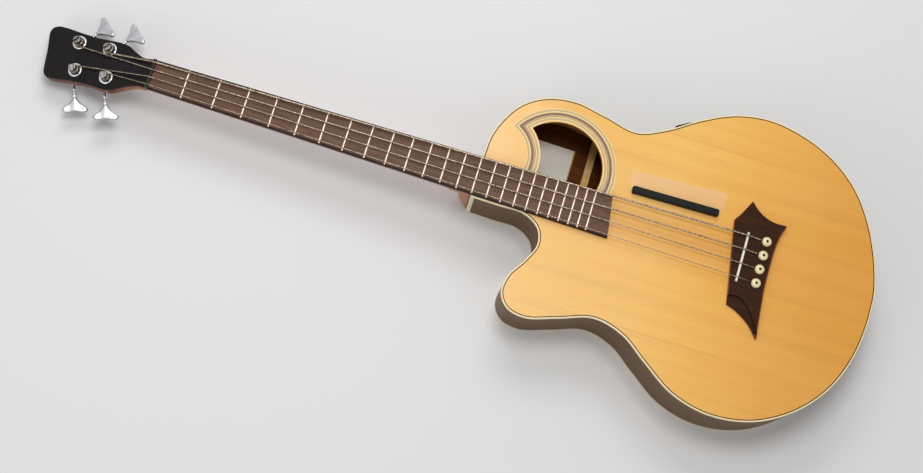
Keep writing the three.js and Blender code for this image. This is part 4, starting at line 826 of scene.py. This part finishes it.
def make_board():
    rings = []
    xs = [NUT_X + GAP] + [fret_x(n) for n in range(1, FRETS + 1)] + [BOARD_END - 0.6, BOARD_END]
    for x in xs:
        half, drop = (board_half(x) - 0.3, 0.4) if x == BOARD_END else (board_half(x), 0)
        slant = BOARD_SLANT if x > BOARD_END - 1 else 0
        inside = half - EDGE_STRIP
        across = [half] + [inside - 2 * inside * k / 14 for k in range(15)] + [-half]
        ring = [(-half, GAP), (half, GAP)]
        ring += [(y, crown(y) - (0.35 if abs(y) == half else 0) - drop) for y in across]
        rings.append([(x - slant * (y - 2.5), y, z) for y, z in ring])
    board = Build().loft(rings)
    # The underside, the sides and a strip along each edge of the top get the painted shade.
    count = len(rings[0])
    for k in range((len(rings) - 1) * count):
        if k % count in (0, 1, 2, count - 2, count - 1):
            board.marks[k] = 1
    piece("board_blank", board, [BOARD, BOARD_SHADE], "fingerboard", angle=50)
    wires = Build()
    for x in (fret_x(fret) for fret in range(1, FRETS + 1)):
        half = board_half(x) - 1.2
        rings = []
        for k in range(WIRE_SPOTS):
            share = -1 + 2 * k / (WIRE_SPOTS - 1)
            y = half * share
            rise = min(1.0, (1 - abs(share)) * half / 1.1 + 0.25)
            base = crown(y) - 0.1
            ring = [(x - 1.2, y, base)]
            for t in (math.pi * a / 8 for a in range(9)):
                z = base + 0.1 + 0.98 * rise * math.sin(t) ** 0.7
                ring.append((x - 1.15 * math.cos(t), y, z))
            rings.append(ring + [(x + 1.2, y, base)])
        wires.loft(rings)
    piece("fret_wires", wires, FRET, angle=60)
    top = STRING_AT_NUT + 1.7
    profile = [(0, GAP), (4.8, GAP)] + stack(top, [
        (4.8, -1.2), (4.6, -0.5), (4.1, -0.12), (3.4, 0), (1.6, -0.1), (0.7, -0.6), (0.2, -1.3),
        (0, -2)])
    end = NUT_HALF - 0.1
    nut = Build().loft([[(NUT_X - NUT_DEPTH + x, y, z) for x, z in profile] for y in (-end, end)])
    slots = []
    for i, gauge in enumerate(GAUGES):
        y, half = string_y(i, NUT_SPACING), gauge / 2 + 0.2
        slots.append(Build().box(NUT_X - 9, NUT_X + 4, y - half, y + half,
                                 STRING_AT_NUT - 0.2, top + 3))
    piece("string_nut", carved(nut, *slots), NUT, "nut", bevel=0.2)


# Neck and headstock

HEAD_LENGTH = 157
HEAD_HALF = 37
HEAD_OUTLINE = [
    (0.0, NUT_HALF / HEAD_HALF), (0.09, 0.53), (0.17, 0.66), (0.25, 0.83), (0.33, 0.885),
    (0.54, 0.87), (0.7, 0.91), (0.88, 0.98), (0.945, 0.96), (0.985, 0.86), (1, 0.68),
    (0.985, 0.36), (0.965, 0), (0.945, -0.5), (0.925, -0.86), (0.89, -1), (0.8, -1.0),
    (0.64, -0.94), (0.5, -0.93), (0.37, -0.97), (0.29, -0.94), (0.22, -0.8), (0.15, -0.66),
    (0.06, -0.55), (0.0, -NUT_HALF / HEAD_HALF),
]
NECK_DEPTH = 15.5
NECK_ROUNDNESS = 0.78
NECK_SPOTS = 28
HEEL_REACH = 22
COVER_LENGTH = 67
COVER_SHOULDER = -COVER_LENGTH * 0.66
COVER_OUTLINE = [(-GAP, 10), (COVER_SHOULDER / 2, 10), (COVER_SHOULDER, 12.5), (-COVER_LENGTH, 0),
                 (COVER_SHOULDER, -12.5), (COVER_SHOULDER / 2, -10), (-GAP, -10)]


def shaft_ring(x, depth, top, half):
    ring = []
    for k in range(NECK_SPOTS + 1):
        a = math.pi * k / NECK_SPOTS
        drop = 0.0 if k in (0, NECK_SPOTS) else math.sin(a) ** NECK_ROUNDNESS
        ring.append((x, half * math.cos(a), top - (depth + top) * drop))
    return ring[::-1]


def heel_ring(z, reach, half):
    def rounded(v):
        return 0.0 if abs(v) < 1e-6 else math.copysign(abs(v) ** NECK_ROUNDNESS, v)

    turn = arc((0, 0), 1, math.pi / 2, 1.5 * math.pi, NECK_SPOTS)
    return [(NECK_END - GAP + reach * rounded(x), half * rounded(y), z) for x, y in turn[::-1]]


def make_neck():
    """Shaft, heel and headstock as one smoothed piece, with the veneers and the rod's cover."""
    spots = [(HEAD_X - 14, NECK_DEPTH, -4, NUT_HALF), (HEAD_X - 7, NECK_DEPTH + 1, -2, NUT_HALF),
             (HEAD_X, NECK_DEPTH, 0, NUT_HALF)]
    for k in range(13):
        x = NUT_X + (NECK_END - 66 - NUT_X) * k / 12
        spots.append((x, NECK_DEPTH + 2.2 * k / 12, 0, board_half(x)))
    for back, depth in ((56, 17.9), (47, 18.6), (40, 20.2), (35, 22.6), (31.5, 25.8), (29, 30),
                        (27, 36), (GAP, 38)):
        spots.append((NECK_END - back, depth, 0, board_half(NECK_END - back)))
    shaft = Build().loft([shaft_ring(*spot) for spot in spots])
    crest = Build().loft([[(x, board_half(x) * side, z)
                           for side, z in ((-1, -1.5), (-1, 4), (1, 4), (1, -1.5))]
                          for x in (HEAD_X + 2, NECK_END - GAP)])
    foot = back_z(NECK_END) + 3
    levels = []
    for share, fillet, wide in ((0, 1, 1), (0.8, 1, 1), (1.15, 0.42, 1), (1.6, 0.06, 0.99)):
        levels.append((-18 * share, HEEL_REACH + 12 * fillet, 27 * wide))
    for share, reach, wide in ((0.45, 0.98, 0.96), (0.65, 0.84, 0.98), (0.82, 0.6, 1),
                               (0.94, 0.34, 1), (1, 0.14, 0.98)):
        levels.append((foot * share, HEEL_REACH * reach, (26 + (1 - share) * 2) * wide))
    heel = Build().loft([heel_ring(*row) for row in smooth_line(levels, 5)])
    outline = smooth_line([(-a * HEAD_LENGTH, b * HEAD_HALF) for a, b in HEAD_OUTLINE], 10)
    head = Build().slab(outline, -14, -0.5, top=0.3, foot=1.6, matrix=PLACE.inverted() @ HEAD)
    obj = put_in("neck_shaping", carved(shaft, heel, head, crest, op="UNION"))
    above = Build().box(HEAD_X, NECK_END + 5, -40, 40, -0.02, 40)
    trim = put_in("trim", above.mesh("trim"))
    modify(obj, "REMESH", mode="VOXEL", voxel_size=1.0)
    modify(obj, "SMOOTH", iterations=6, factor=0.5)
    modify(obj, "DECIMATE", ratio=0.35)
    modify(obj, "BOOLEAN", operation="DIFFERENCE", solver="EXACT", object=trim)
    piece("neck_carved", evaluated(obj, trim), NECK, "neck", angle=50)
    face = Build().slab(outline, 0.7, GAP + 2.0, top=0.5)
    piece("headstock_face", face, LACQUER, "headstock_veneer", place=HEAD,
          angle=40)
    piece("headstock_red_veneer", Build().slab(outline, -0.6, 0.7), RED_LINE,
          place=HEAD)
    cover = Build().slab(smooth_line(COVER_OUTLINE, 10), 2.4, 4.2, top=0.7)
    piece("rod_cover", cover, COVER, "truss_rod_cover", place=HEAD, angle=40)


# Tuners

WORM_Z = -19.6
TEETH = 16
WHEEL_RADIUS = 7.2
CENTRE_DISTANCE = 10.2
EAR_X = 8.3
COLLAR_X = EAR_X + 0.3
POST_RADIUS = 4.3
BUSHING_LOW = 2.4
BUSHING_TOP = 4.9
# The posts' tops over the head's face. The photo shows them lower than the solids stand.
POST_TOP = 15.9
SLOT_FLOOR = POST_TOP - 3.4
TURNS = (1.1, 1.4, 1.7, 2.2)
TURN_STEPS = 28
# Each key: how far it splays from square to the neck, how far out its wing starts, and its tilt
BASS_KEY = (41, 22.7, 0)
TREBLE_KEY = (22, 29.2, -20)
POSTS = [(63.9, 19.3, BASS_KEY), (109.4, 19.3, BASS_KEY),
         (101.6, -19.3, TREBLE_KEY), (55.4, -19.3, TREBLE_KEY)]
KEY_LENGTH = 21.8
KEY_HALF = 17.2
KEY_SHARES = [(0, 0.14), (0.12, 0.2), (0.25, 0.3), (0.38, 0.43), (0.5, 0.58), (0.6, 0.76),
              (0.69, 0.92), (0.79, 1), (0.9, 0.97), (0.97, 0.85), (1, 0.68), (0.985, 0.42),
              (0.965, 0.16)]
KEY_STEPS = [1, 0.84, 0.68, 0.54, 0.42, 0.32, 0.23, 0.16, 0.11, 0.07, 0.04, 0.02, 0.006]
KEY_ROUNDING = 2.8
BUSHING = (
    [(5.4, -4), (7, -4), (7, BUSHING_LOW), (9.6, BUSHING_LOW), (9.8, BUSHING_LOW + 0.3)]
    + stack(BUSHING_TOP, [(9.8, -1.0), (9.5, -0.4), (8.9, -0.05), (8.2, 0), (6.6, -0.1),
                          (5.9, -0.5), (5.4, -1.1)])
    + [(5.4, -4)]
)
POST = (
    [(0, WORM_Z - 1.5), (3.6, WORM_Z - 1.5), (3.6, -14), (5.1, -10)]
    + stack(BUSHING_TOP, [(5.1, 0.1), (4.8, 0.5), (4.4, 0.8), (POST_RADIUS, 1.2)])
    + stack(SLOT_FLOOR, [(POST_RADIUS, -0.6), (4.5, -0.1), (4.9, 0.3), (5.1, 0.8)])
    + stack(POST_TOP, [(5.1, -0.9), (4.95, -0.35), (4.6, -0.05), (4.2, 0), (2.0, 0), (1.5, -0.3),
                       (1.4, -3), (0, -3)])
)


def key_shaft(reach):
    """The profile of a key's shaft: its end, the worm's seat, collar, barrel and wing's neck."""
    barrel = min(COLLAR_X + 10.4, reach - 5)
    return (
        stack(-EAR_X, [(0, -1.6), (1.9, -1.6), (2.2, -1.3)])
        + [(2.2, -4.4), (1.95, -4.4), (1.95, 4.4), (2.2, 4.4)]
        + stack(COLLAR_X, [(2.2, 0), (3.1, 0), (3.3, 0.3), (3.3, 1.6), (3.0, 2.0), (2.3, 2.2),
                           (2.2, 3.6), (2.5, 4.0), (2.9, 4.6)])
        + stack(barrel, [(2.9, 0), (2.6, 0.6), (1.9, 0.9)])
        + stack(reach, [(1.8, -3.4), (2.5, -3.2), (3.1, -2.6), (3.2, -1.8), (3.0, -0.9),
                        (2.3, -0.4), (2.2, 4), (1.8, 9), (0, 9.6)])
    )


def key_height(x, y, away):
    """Half the wing's thickness: a broad ridge along its shaft and full lobes beside it."""
    ridge = 1.2 * math.exp(-(y / 5.2) ** 2)
    lobe = 0.6 * math.exp(-((abs(y) - 13) / 4) ** 2 - ((x - 17.5) / 4.5) ** 2)
    rounding = math.sqrt(1 - (1 - min(1, away / KEY_ROUNDING)) ** 2)
    return (1.9 + ridge + lobe) * rounding


def key_wing(reach):
    """Rings from the ridge out to the edge on one face, and back in on the other."""
    half = [(a * KEY_LENGTH, b * KEY_HALF) for a, b in KEY_SHARES]
    outline = closed_line(half + [(x, -y) for x, y in half[::-1]], 8)
    spines = [min(max(x, 2.4), 0.8 * KEY_LENGTH) for x, _ in outline]
    rings = []
    for side, steps in ((1, KEY_STEPS + [0]), (-1, KEY_STEPS[::-1])):
        for step in steps:
            ring = []
            for (x, y), spine in zip(outline, spines):
                px, py = x + (spine - x) * step, y * (1 - step)
                away = step * math.hypot(x - spine, y)
                ring.append((reach + px, py, side * key_height(px, py, away)))
            rings.append(ring)
    return Build().loft(rings, caps=False)


def make_tuner(index):
    name = NAMES[index]
    key, post = f"key_{name}", f"post_{name}"
    along, across, (splay, reach, tilt) = POSTS[index]
    side = 1 if across > 0 else -1
    turn = Matrix.Rotation(math.radians(side * (90 - splay)), 4, "Z")
    unit = HEAD @ Matrix.Translation((-along, across, 0)) @ turn
    piece(f"bushing_{name}", Build().lathe(BUSHING, 48), CHROME, f"tuner_bushing_{name}",
          place=unit, angle=40)
    slot = Build().box(-6, 6, -1.3, 1.3, SLOT_FLOOR, POST_TOP + 1)
    piece(f"{post}_body", carved(Build().lathe(POST, 40), slot), POST_CHROME,
          f"tuner_{post}", post, unit, 40)
    outline = []
    for tooth in range(TEETH):
        middle = side * math.pi / 2 + (tooth + 0.5) * 2 * math.pi / TEETH
        for radius, wide in ((6.35, -0.6), (7.85, -0.35), (7.85, 0.35), (6.35, 0.6)):
            a = middle + wide / radius
            outline.append((radius * math.cos(a), radius * math.sin(a)))
    piece(f"{post}_wheel", Build().slab(outline, WORM_Z - 1.5, WORM_Z + 1.5), CHROME,
          body=post, place=unit, bevel=0.12)

    key_at = unit @ Matrix.Translation((0, side * CENTRE_DISTANCE, WORM_Z))
    shaft = Build().lathe(key_shaft(reach), 28, Matrix.Rotation(math.pi / 2, 4, "Y"))
    piece(f"{key}_shaft", shaft, CHROME, f"tuner_{key}", key, key_at, 45)
    pitch = 2 * math.pi * WHEEL_RADIUS / TEETH
    facing = math.pi if side > 0 else 0
    section = [(-0.575, 1.65), (-0.3, 3.6), (0.3, 3.6), (0.575, 1.65)]
    rings = []
    for step in range(49):
        share = (step / 48 - 0.5) * 2
        a = facing + side * share * 2 * math.pi
        rings.append([(share * pitch + x, r * math.cos(a), r * math.sin(a)) for x, r in section])
    piece(f"{key}_worm", Build().loft(rings), STEEL, body=key, place=key_at, angle=50)
    piece(f"{key}_wing", key_wing(reach), SATIN, body=key,
          place=key_at @ Matrix.Rotation(math.radians(tilt), 4, "X"), angle=60)
    dress(f"tuner_plate_{name}", CHROME, 0.3)


# Strings

BALL_SHARES = (0.35, 0.75, 0.95, 1, 0.95, 0.75, 0.5)


def string_path(index):
    """A string's points and radii, from its ball end under the bridge to its turns on the post."""
    gauge = GAUGES[index]
    half = gauge / 2
    y = string_y(index, SADDLE_SPACING)
    x = PIN_X - PIN_REACH - RUN - half
    ball_top = -TOP_THICKNESS - GAP - 3 - RUN
    radii = [max(3 * share, half) for share in BALL_SHARES]
    pts = [(x, y, ball_top - 6 + step) for step in range(len(BALL_SHARES))]
    pts += [(x, y, ball_top + RUN), (x, y, BRIDGE_TOP - 0.8),
            (x - 0.3, y, BRIDGE_TOP + half * 0.6), (x - 1.0, y, BRIDGE_TOP + half + 0.3),
            (x - 3.2, y, BRIDGE_TOP + half + 1.2)]
    start = Vector((SADDLE_X, y, STRING_AT_SADDLE + half - 0.2))
    pts.append((SADDLE_X + 1.5, y, start.z - 0.25))
    nut_y = string_y(index, NUT_SPACING)
    end = Vector((NUT_X, nut_y, STRING_AT_NUT + half))
    pts += [start.lerp(end, k / 24) for k in range(25)]
    entry = Vector((NUT_X - NUT_DEPTH, nut_y, STRING_AT_NUT + half))
    pts.append(entry)
    along, across, _ = POSTS[index]
    side = 1 if across > 0 else -1
    to_head = PLACE.inverted() @ HEAD
    local = to_head.inverted() @ entry
    radius = POST_RADIUS + RUN + half
    dx, dy = local.x + along, local.y - across
    first = math.atan2(dy, dx) - side * math.acos(radius / math.hypot(dx, dy))
    low = BUSHING_TOP + 0.9 + half
    for turn in (step / TURN_STEPS for step in range(round(TURNS[index] * TURN_STEPS) + 1)):
        a = first - side * turn * 2 * math.pi
        pts.append(to_head @ Vector((-along + radius * math.cos(a), across + radius * math.sin(a),
                                     low + turn * (gauge + 0.45))))
    return [Vector(p) for p in pts], radii + [half] * (len(pts) - len(radii))


def make_strings():
    for index, name in enumerate(NAMES):
        piece(f"string_{name}_wound", Build().tube(*string_path(index)), WOUND,
              f"string_{name}", angle=60)


# Bridge, saddle and pins

BRIDGE_LENGTH = 72
BRIDGE_HALF = 101
BRIDGE_SHARES = [
    (0.264, 0.782), (0.44, 0.663), (0.68, 0.589), (0.986, 0.579), (0.92, 0.42), (0.885, 0.25),
    (0.875, 0), (0.875, -0.28), (0.9, -0.52), (0.96, -1), (0.75, -0.836), (0.475, -0.713),
    (0.28, -0.663), (0.018, 0.466), (0.128, 0.592),
]
LEDGE_SHARES = [
    (0.2, -0.55), (0.31, -0.53), (0.41, -0.519), (0.5, -0.54), (0.57, -0.569), (0.7, -0.658),
    (0.8, -0.752), (0.93, -0.93), (0.75, -1.1), (0.2, -1.1),
]
SADDLE_SHAPE = [(1.5, -1.3), (1.3, -0.6), (0.8, -0.15), (0, 0), (-0.8, -0.15), (-1.3, -0.6),
                (-1.5, -1.3)]
# How far the saddle's top falls at each place across it
SADDLE_FALLS = {35: 2.4, 34.6: 1.2, 33.8: 0.4, 32.5: 0, 20: 0, 0: 0}
PIN_SHAPE = [(0, -22), (3.0, -22), (3.2, -21.4), (4.0, -0.2), (5.6, 0), (6.3, 0.15), (6.6, 0.6),
             (6.6, 1.2), (6.45, 2.0), (6.1, 2.7), (5.5, 3.4), (4.6, 4.0), (3.5, 4.4),
             (2.2, 4.58), (0, 4.62)]
DOT_SHAPE = [(0, 4.2), (1.9, 4.3), (1.9, 4.62), (1.6, 4.7), (0, 4.72)]


def bridge_spots(shares):
    return [(a * BRIDGE_LENGTH - 17, b * BRIDGE_HALF) for a, b in shares]


def bridge_line():
    """The bridge's outline: smooth runs that meet in sharp corners."""
    spots = bridge_spots(BRIDGE_SHARES)
    line = smooth_line(spots[0:4], 8)
    line += smooth_line(spots[3:10], 8)[1:]
    line += smooth_line(spots[9:13], 8)[1:]
    line += smooth_line(spots[13:] + spots[:1], 5)[:-1]
    return line[::-1]


def make_bridge():
    # The blank's walls and rounded rim take the painted bevel highlight.
    blank = Build().slab(bridge_line(), GAP, BRIDGE_TOP, top=1.6, segments=3, fade=14, edge_mark=1)
    spots = bridge_spots(LEDGE_SHARES)
    ledge = Build().slab(smooth_line(spots[:8], 8) + [np.array(p) for p in spots[8:]],
                         GAP + 2.6, 30, foot=4.5, segments=6)
    start, end = 0.56 * BRIDGE_HALF, 0.782 * BRIDGE_HALF
    reach = end + 30
    fall = 3.5 / (end - start) * (reach - start)
    profile = [(start, BRIDGE_TOP), (reach, BRIDGE_TOP - fall), (reach, 40), (start, 40)]
    tip = Build().loft([[(x, y, z) for y, z in profile] for x in (-30, 72)])
    slot = Build().box(SADDLE_X - 1.7, SADDLE_X + 1.7, -35.2, 35.2, BRIDGE_TOP - SADDLE_SLOT, 30)
    holes = []
    for index, gauge in enumerate(GAUGES):
        y, half = string_y(index, SADDLE_SPACING), gauge / 2 + RUN
        holes.append(Build().lathe([(0, -5), (4.3, -5), (4.3, 20), (0, 20)], 32,
                                   Matrix.Translation((PIN_X, y, 0))))
        holes.append(Build().box(PIN_X - PIN_REACH - RUN - gauge - 1.4, PIN_X, y - half, y + half,
                                 -5, 20))
    piece("bridge_body", carved(blank, ledge, tip, slot, *holes), [ROSEWOOD, BRIDGE_RIM_SHEEN],
          "bridge", angle=30)

    low = BRIDGE_TOP - SADDLE_SLOT + 1.2 + 2 * GAP
    top = STRING_AT_SADDLE - RUN
    ends = list(SADDLE_FALLS)
    rings = []
    for y in [-end for end in ends] + ends[-2::-1]:
        shape = stack(top - SADDLE_FALLS[abs(y)], SADDLE_SHAPE)
        rings.append([(SADDLE_X + x, y, z) for x, z in [(-1.5, low), (1.5, low)] + shape])
    piece("saddle_bar", Build().loft(rings), SADDLE, "saddle", angle=45)

    head = BRIDGE_TOP + GAP
    for index, name in enumerate(NAMES):
        at = PLACE @ Matrix.Translation((PIN_X, string_y(index, SADDLE_SPACING), 0))
        half = GAUGES[index] / 2 + RUN
        groove = Build().box(-9, -PIN_REACH, -half, half, head - 3, head + 2.4)
        pin = carved(Build().lathe(stack(head, PIN_SHAPE), 44), groove)
        piece(f"pin_{name}_body", pin, BONE, f"bridge_pin_{name}", place=at,
              angle=50)
        piece(f"pin_{name}_dot", Build().lathe(stack(head, DOT_SHAPE), 24), COVER,
              place=at, angle=50)


REST_PLACE = (-98.2, 47.2, 0)
REST_TURN = 1.5
REST_CORNER = (57.6, 2.45)
FILM_HALF = 66


def make_thumb_rest():
    """The thumb rest's bar with its clear film beside it."""
    turn = Matrix.Rotation(math.radians(REST_TURN), 4, "Z")
    at = PLACE @ Matrix.Translation(REST_PLACE) @ turn
    x, y = REST_CORNER
    outline = []
    for turn, corner in enumerate(((x, y), (-x, y), (-x, -y), (x, -y))):
        outline += arc(corner, 2.4, turn * math.pi / 2, (turn + 1) * math.pi / 2, 6)
    rest = Build().slab(outline, GAP, GAP + 8, top=1.6, segments=3)
    piece("thumb_rest_bar", rest, BLACK, "thumb_rest", place=at, angle=30)
    low, side = y + 2.4 + RUN, FILM_HALF
    corners = [(side, low), (side, low + 26), (-side, low + 21.5), (-side, low)]
    spots = [Vector(corner) for corner in corners]
    line = []
    for i, radius in enumerate((1, 5, 5, 1)):
        spot = spots[i]
        a = spot + (spots[i - 1] - spot).normalized() * radius
        b = spot + (spots[(i + 1) % 4] - spot).normalized() * radius
        line += [a * (1 - t) ** 2 + spot * 2 * t * (1 - t) + b * t * t
                 for t in (k / 6 for k in range(7))]
    film = Build().slab(line, GAP * 0.2, GAP + 0.3, top=0.15, segments=2)
    piece("thumb_film_sheet", film, FILM, "thumb_rest_film", place=at, angle=30)


# Camera, lights and floor

# Each lamp: where it stands and aims, in metres, its size and its power
LAMPS = {
    "key_light": ((-0.9, 1.6, 2.2), (-0.3, 0, 0.05), (1.6, 1.0), 21),
    "fill_light": ((-1.6, -1.9, 1.3), (-0.3, 0, 0.05), (1.4, 1.4), 10.5),
    "top_light": ((-0.5, 0.22, 2.5), (-0.27, 0.05, 0.05), (0.8, 0.8), 24),
}
# The camera that was fitted to the photo: its axes and its place
CAMERA_AXES = [(0.951109, 0.287993, 0.111590), (-0.305668, 0.929491, 0.206431),
               (-0.044272, -0.230448, 0.972077)]
CAMERA_PLACE = (-0.45742, -0.58470, 2.19575)


def make_stage():
    world = bpy.data.worlds.new("studio")
    bpy.context.scene.world = world
    world.use_nodes = True
    world.node_tree.nodes.clear()
    graph = Graph(world.node_tree)
    rays = graph.node("LightPath").outputs
    seen = rays["Is Camera Ray"]
    for kind in ("Glossy", "Transmission"):
        seen = graph.out("Math", {0: seen, 1: rays[f"Is {kind} Ray"]}, operation="MAXIMUM")
    light = graph.out("Background", {0: (1, 1, 1, 1), 1: 0.33})
    backdrop = graph.out("Background", {0: (0.93, 0.93, 0.93, 1)})
    graph.node("OutputWorld", {0: graph.out("MixShader", {0: seen, 1: light, 2: backdrop})})

    for name, (spot, aim, (width, height), power) in LAMPS.items():
        lamp = put_in(name, set_up(bpy.data.lights.new(name, "AREA"), shape="RECTANGLE",
                                   size=width, size_y=height, energy=power))
        lamp.location = spot
        lamp.rotation_euler = (Vector(aim) - Vector(spot)).to_track_quat("-Z", "Y").to_euler()

    floor = Build().box(-6000, 6000, -6000, 6000, -60, -0.4).mesh("studio_floor")
    floor.transform(Matrix.Scale(0.001, 4))
    put_in("studio_floor", floor)

    view = put_in("camera", set_up(bpy.data.cameras.new("camera"), sensor_width=36, lens=64.11,
                                   clip_start=0.05, clip_end=60))
    matrix = Matrix(CAMERA_AXES).transposed().to_4x4()
    matrix.translation = CAMERA_PLACE
    view.matrix_world = matrix
    bpy.context.scene.camera = view
    bpy.context.scene.view_settings.view_transform = "Standard"


# The solids that stay in view: their finish, and how far their edges are worn
DRESSED = [
    ("top_lining back_lining neck_block tail_block cross_brace fingerboard_brace bridge_plate "
     "back_brace_1 back_brace_2 back_brace_3", INNER, 0.4),
    ("paper_label", PAPER, 0), ("truss_rod", STEEL, 0), ("pickup_strip", COPPER, 0),
    ("battery", STEEL, 0.5), ("preamp_panel battery_door", BLACK, 0.4),
    ("knob_volume knob_bass knob_treble", KNOB, 0.3), ("end_pin_jack", CHROME, 0.3),
]

make_stage()
make_soundboard()
make_rosette()
make_edges()
make_sides()
make_board()
make_neck()
for number in range(len(NAMES)):
    make_tuner(number)
make_strings()
make_bridge()
make_thumb_rest()
for nodes, mat, worn in DRESSED:
    for node in nodes.split():
        dress(node, mat, worn)
